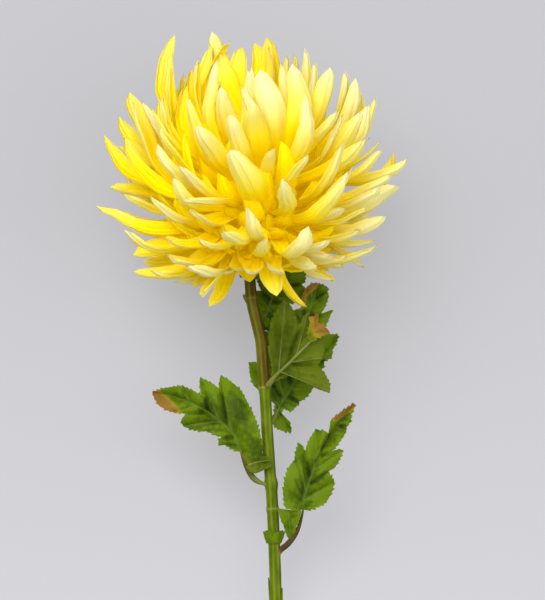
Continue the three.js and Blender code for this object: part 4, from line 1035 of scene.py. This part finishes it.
def make_leaf(name, leaf, size, materials):
    """A leaf with all its blades, its stalk, and its bud and ruff where it has them."""
    shell = Shell()
    for blade in leaf["blades"]:
        add_half_blade(shell, blade, blade["left"], leaf, size)
        add_half_blade(shell, blade, blade["right"], leaf, size)
    rib = leaf["blades"][0]["rib"]
    stalk_share = (len(leaf["petiole"]) - 1) / (len(leaf["petiole"]) + len(rib) - 2)
    share = np.linspace(0, 1, 60)
    line = curve_through(leaf["petiole"][:-1] + rib, share)
    thinning = RIB_THINNING[leaf["face_up"]]
    radii = STALK_RADIUS - thinning * smoothstep(share, stalk_share * 0.4, stalk_share + 0.12) - 0.2 * share
    radii *= 0.5 + 0.5 * smoothstep(share, 0, 0.1)
    browning = leaf["browned"] * (smoothstep(share, 0.02, 0.15)
                                  - smoothstep(share, stalk_share * 0.8, stalk_share + 0.1))
    add_tube(shell, line, radii, STALK_SIDES, slot=2, vein=1.0, dried=np.repeat(browning, STALK_SIDES))
    if "bud" in leaf:
        share = np.linspace(0.03, 0.97, 14)
        radii = BUD_RADIUS * np.sin(math.pi * share) ** 0.6
        add_tube(shell, curve_through(leaf["bud"], share), radii, 16)
    if "ruff" in leaf:
        add_ruff(shell, *leaf["ruff"], RUFF_DEPTH)
    return shell.finished(name, materials)


def make_stem(material, cut):
    """The ribbed stem with its joints and torn strips of skin, and a cut end of its own material."""
    shell = Shell()
    line = np.array(STEM_LINE)
    taper = np.interp(-line[:, 1], (STEM_TOP, STEM_LENGTH), (STEM_RADIUS_TOP, STEM_RADIUS_END))
    heights = np.linspace(line[0, 1], line[-1, 1], STEM_ROWS)
    order = np.argsort(line[:, 1])
    fine = np.column_stack([np.interp(heights, line[order, 1], line[order, axis]) for axis in range(3)])
    radii = np.interp(heights, line[order, 1], (taper + line[:, 3])[order])
    for axis in (0, 2):
        padded = np.pad(fine[:, axis], STEM_SMOOTHING // 2, mode="edge")
        fine[:, axis] = np.convolve(padded, np.ones(STEM_SMOOTHING) / STEM_SMOOTHING, mode="valid")
    turn = np.arange(STEM_DETAIL) * 2 * math.pi / STEM_DETAIL
    ridge = (0.5 + 0.5 * np.cos(STEM_RIBS * turn)) ** 2
    rings = sum(clear * np.exp(-((heights - joint) / RING_WIDTH) ** 2) for joint, clear in JOINTS)
    # above the middle joint the side that faces right and forward has browned
    side = 0.25 + 0.75 * (0.5 + 0.5 * np.cos(turn - math.radians(20)))
    browned = smoothstep(heights, JOINTS[1][0] - 0.5, JOINTS[1][0] + 1)[:, None] * side
    add_tube(shell, fine, radii, STEM_DETAIL, ribs=STEM_RIBS, rib_depth=RIB_DEPTH, cap_slot=1,
             vein=np.tile(ridge, len(heights)), rim=np.repeat(rings, STEM_DETAIL), dried=browned)
    share = np.linspace(0, 1, 12)
    for foot, tip, radius in STRIPS:
        add_tube(shell, curve_through((foot, tip), share), radius * (1 - 0.6 * share ** 4), 12,
                 dried=np.repeat(share ** 8, 12))
    return shell.finished("stem_skin", (material, cut), sharp=60)


# ---------------------------------------------------------------- what a user would change
class BloomSettings(bpy.types.PropertyGroup):
    spiral_petals: IntProperty(name="Spiral seats", description="Seats of the spiral that fills the ball",
                               default=160, min=40, max=400)
    inner_petals: IntProperty(name="Inner petals", description="Short petals between the roots",
                              default=190, min=0, max=400)
    thickness: FloatProperty(name="Petal thickness", description="Along the middle of a petal",
                             default=0.55 * MM, unit="LENGTH")
    cup: FloatProperty(name="Cup", description="Half angle of a petal's rolled section",
                       default=math.radians(78), subtype="ANGLE")
    waves: FloatProperty(name="Waves", description="How far petals swing out of line",
                         default=5 * MM, unit="LENGTH")
    softness: FloatProperty(name="Resting bend", description="Height under which petals bend on the surface",
                            default=3 * MM, unit="LENGTH")


class LeafSettings(bpy.types.PropertyGroup):
    tooth_depth: FloatProperty(name="Tooth depth", description="Depth of the edge's teeth, in mm",
                               default=0.8)
    tooth_pitch: FloatProperty(name="Tooth pitch", description="Distance between teeth, in mm", default=2.2)
    vein_width: FloatProperty(name="Vein width", description="Width of the middle vein, in mm", default=0.75)
    vein_relief: FloatProperty(name="Vein relief", description="How far veins stand out behind, in mm",
                               default=0.35)
    crease_width: FloatProperty(name="Crease width", description="Reach of the creases between lobes, in mm",
                                default=2)
    pleating: FloatProperty(name="Pleating", description="Depth of the creases, in mm", default=0.4)
    quilting: FloatProperty(name="Quilting", description="Swelling between the veins, in mm", default=2.2)
    waving: FloatProperty(name="Waving", description="How far the edge swings up and down, in mm",
                          default=0.6)
    leaf_thickness: FloatProperty(name="Leaf thickness", description="Thickness of a blade, in mm",
                                  default=0.45)


class StageSettings(bpy.types.PropertyGroup):
    floor_colour: FloatVectorProperty(name="Floor", description="Colour of the floor", subtype="COLOR",
                                      size=4, min=0, max=1, default=linear("#6C6C6F"))
    floor_glow: FloatProperty(name="Floor glow", description="Light that the floor gives of itself",
                              default=0.43)
    key_power: FloatProperty(name="Key light", description="Power of the large light",
                             default=20, unit="POWER")
    fill_power: FloatProperty(name="Fill light", description="Power of the side light",
                              default=10, unit="POWER")
    sky: FloatProperty(name="Room light", description="Strength of the light from all around", default=0.69)


# ---------------------------------------------------------------- operators
class FLOWER_OT_stage(bpy.types.Operator):
    """Lays the floor and sets the camera and the lights"""
    bl_idname = "flower.stage"
    bl_label = "Stage"

    def execute(self, context):
        look = context.scene.stage_settings
        mesh = bpy.data.meshes.new("floor")
        corners = [(x * FLOOR_REACH, y * FLOOR_REACH, 0) for x, y in ((-1, -1), (1, -1), (1, 1), (-1, 1))]
        mesh.from_pydata(corners, [], [(0, 1, 2, 3)])
        floor = new_object("floor", mesh)
        panel, put, shader = new_material("lit matt panel")
        # a little brighter towards the cut end of the stem
        height = put(SPLIT, (put("ShaderNodeTexCoord", out="Object"),), out="Y")
        share = put(RANGE, (height, HEART.y + 20 * MM, HEART.y - 190 * MM))
        light = put(MIX, {0: share, 6: linear("#E2E2E6"), 7: linear("#FBFBFF")}, out=2, data_type="RGBA")
        fill(shader, {"Base Color": look.floor_colour, "Emission Color": light,
                      "Emission Strength": look.floor_glow, "Roughness": 0.9, "Specular IOR Level": 0.1})
        mesh.materials.append(panel)

        camera = new_object("camera", bpy.data.cameras.new("camera"))
        camera.data.sensor_width = SENSOR
        camera.data.lens = SENSOR * VIEW_DISTANCE / VIEW_SPAN
        eye = Vector(laid((*VIEW_CENTRE, VIEW_DISTANCE))[0])
        camera.matrix_world = Matrix.LocRotScale(eye, TURN, None)
        context.scene.camera = camera

        for name, place, size, power in (("key", (-350, 620, 1150), 1.0, look.key_power),
                                         ("fill", (600, 0, 1200), 1.2, look.fill_power)):
            lamp = new_object(name, bpy.data.lights.new(name, "AREA"))
            lamp.data.size = size
            lamp.data.energy = power
            lamp.location = laid(place)[0]
            lamp.rotation_euler = (HEART - lamp.location).to_track_quat("-Z", "Y").to_euler()

        world = bpy.data.worlds.new("room")
        world.use_nodes = True
        fill(world.node_tree.nodes["Background"], {"Color": linear("#F4F4F6"), "Strength": look.sky})
        context.scene.world = world
        context.scene.view_settings.view_transform = "Standard"
        return {"FINISHED"}


class FLOWER_OT_bloom(bpy.types.Operator):
    """Grows the petals of the bloom on their seats"""
    bl_idname = "flower.bloom"
    bl_label = "Bloom"

    def execute(self, context):
        size = context.scene.bloom_settings
        face = petal_tissue("petal face", (0.1, 0.35, 0.6, 0.85, 1.0),
                            ("#F0C000", "#EFC800", "#EDCA00", "#ECD218", "#E4D45A"),
                            "#E6D878", 0.4, 0.06, (0.45, 1.0))
        back = petal_tissue("petal back", (0.2, 0.5, 0.66, 0.82, 0.96),
                            ("#F0C400", "#EED000", "#EBD614", "#DFD161", "#E0D894"),
                            "#EED41C", 0.65, 0.12, (0.3, 0.7))
        tree = petal_tree()
        listed = listed_seats()
        taken = [seat["tip"].normalized() for seat in listed]
        others = spiral_seats(size.spiral_petals, taken) + inner_seats(size.inner_petals)
        settings = {"Thickness": size.thickness, "Cup": size.cup, "Waves": size.waves,
                    "Softness": size.softness, "Middle": laid(BALL_AT)[0], "Half sizes": BALL_SIZE * MM,
                    "Face": face, "Back": back}
        bloom = grow_petals("bloom_petals", tree, listed, settings | {"Rows": 15, "Columns": 7})
        more = grow_petals("more_petals", tree, others, settings | {"Rows": 11, "Columns": 5})
        heart = make_heart(face)
        with context.temp_override(active_object=bloom, selected_editable_objects=[bloom, more, heart]):
            bpy.ops.object.join()
        bloom.name = "petals"
        seat_piece(bloom, "bloom")
        return {"FINISHED"}


class FLOWER_OT_stem(bpy.types.Operator):
    """Makes the ribbed stem and finishes the calyx"""
    bl_idname = "flower.stem"
    bl_label = "Stem and calyx"

    def execute(self, context):
        skin = stem_skin("stem skin")
        seat_piece(make_stem(skin, stem_pith("stem pith")), "stem")
        calyx = bpy.data.objects["calyx"]
        calyx.data.materials.clear()
        calyx.data.materials.append(skin)
        return {"FINISHED"}


class FLOWER_OT_leaves(bpy.types.Operator):
    """Makes the six leaves with their veins, teeth and stalks"""
    bl_idname = "flower.leaves"
    bl_label = "Leaves"

    def execute(self, context):
        size = context.scene.leaf_settings
        dried = ("#67720C", "#84701C", "#7A5A22")
        browned = ("#5A5518", "#4C3F1E", "#453320")
        tissues = (
            leaf_tissue("leaf upper side", ("#1C2A00", "#324501", "#465B03", "#546A06"),
                        "#5E7405", "#5E753A", 0.36, dried, 0.45),
            leaf_tissue("leaf underside", ("#262F01", "#3A4703", "#475407", "#525E10"),
                        "#4E5A0C", "#7E8852", 0.55, dried, 0.65),
            leaf_tissue("leaf stalk", ("#3E4C0A", "#4E5C14", "#5E6820", "#6A7230"),
                        "#646E28", "#71773A", 0.55, browned, 0.55),
        )
        for name, leaf in LEAVES.items():
            piece = make_leaf(name.removeprefix("leaf_") + "_leaf", leaf, size, tissues)
            seat_piece(piece, name)
        return {"FINISHED"}


class FLOWER_PT_panel(bpy.types.Panel):
    """Lists the pieces of the flower and what can be changed"""
    bl_idname = "FLOWER_PT_panel"
    bl_label = "Chrysanthemum"
    bl_space_type = "VIEW_3D"
    bl_region_type = "UI"
    bl_category = "Chrysanthemum"

    def draw(self, context):
        for operator in OPERATORS:
            self.layout.operator(operator.bl_idname)
        for label, group in SETTINGS.items():
            box = self.layout.box()
            for setting in group.__annotations__:
                box.prop(getattr(context.scene, label), setting)


OPERATORS = (FLOWER_OT_stage, FLOWER_OT_bloom, FLOWER_OT_stem, FLOWER_OT_leaves)
SETTINGS = {"bloom_settings": BloomSettings, "leaf_settings": LeafSettings, "stage_settings": StageSettings}
CLASSES = (*SETTINGS.values(), *OPERATORS, FLOWER_PT_panel)


def register():
    for kind in CLASSES:
        bpy.utils.register_class(kind)
    for label, group in SETTINGS.items():
        setattr(bpy.types.Scene, label, PointerProperty(type=group))


def unregister():
    for label in SETTINGS:
        delattr(bpy.types.Scene, label)
    for kind in reversed(CLASSES):
        bpy.utils.unregister_class(kind)


def main():
    register()
    bpy.ops.flower.stage()
    bpy.ops.flower.bloom()
    bpy.ops.flower.stem()
    bpy.ops.flower.leaves()


if __name__ == "__main__":
    main()
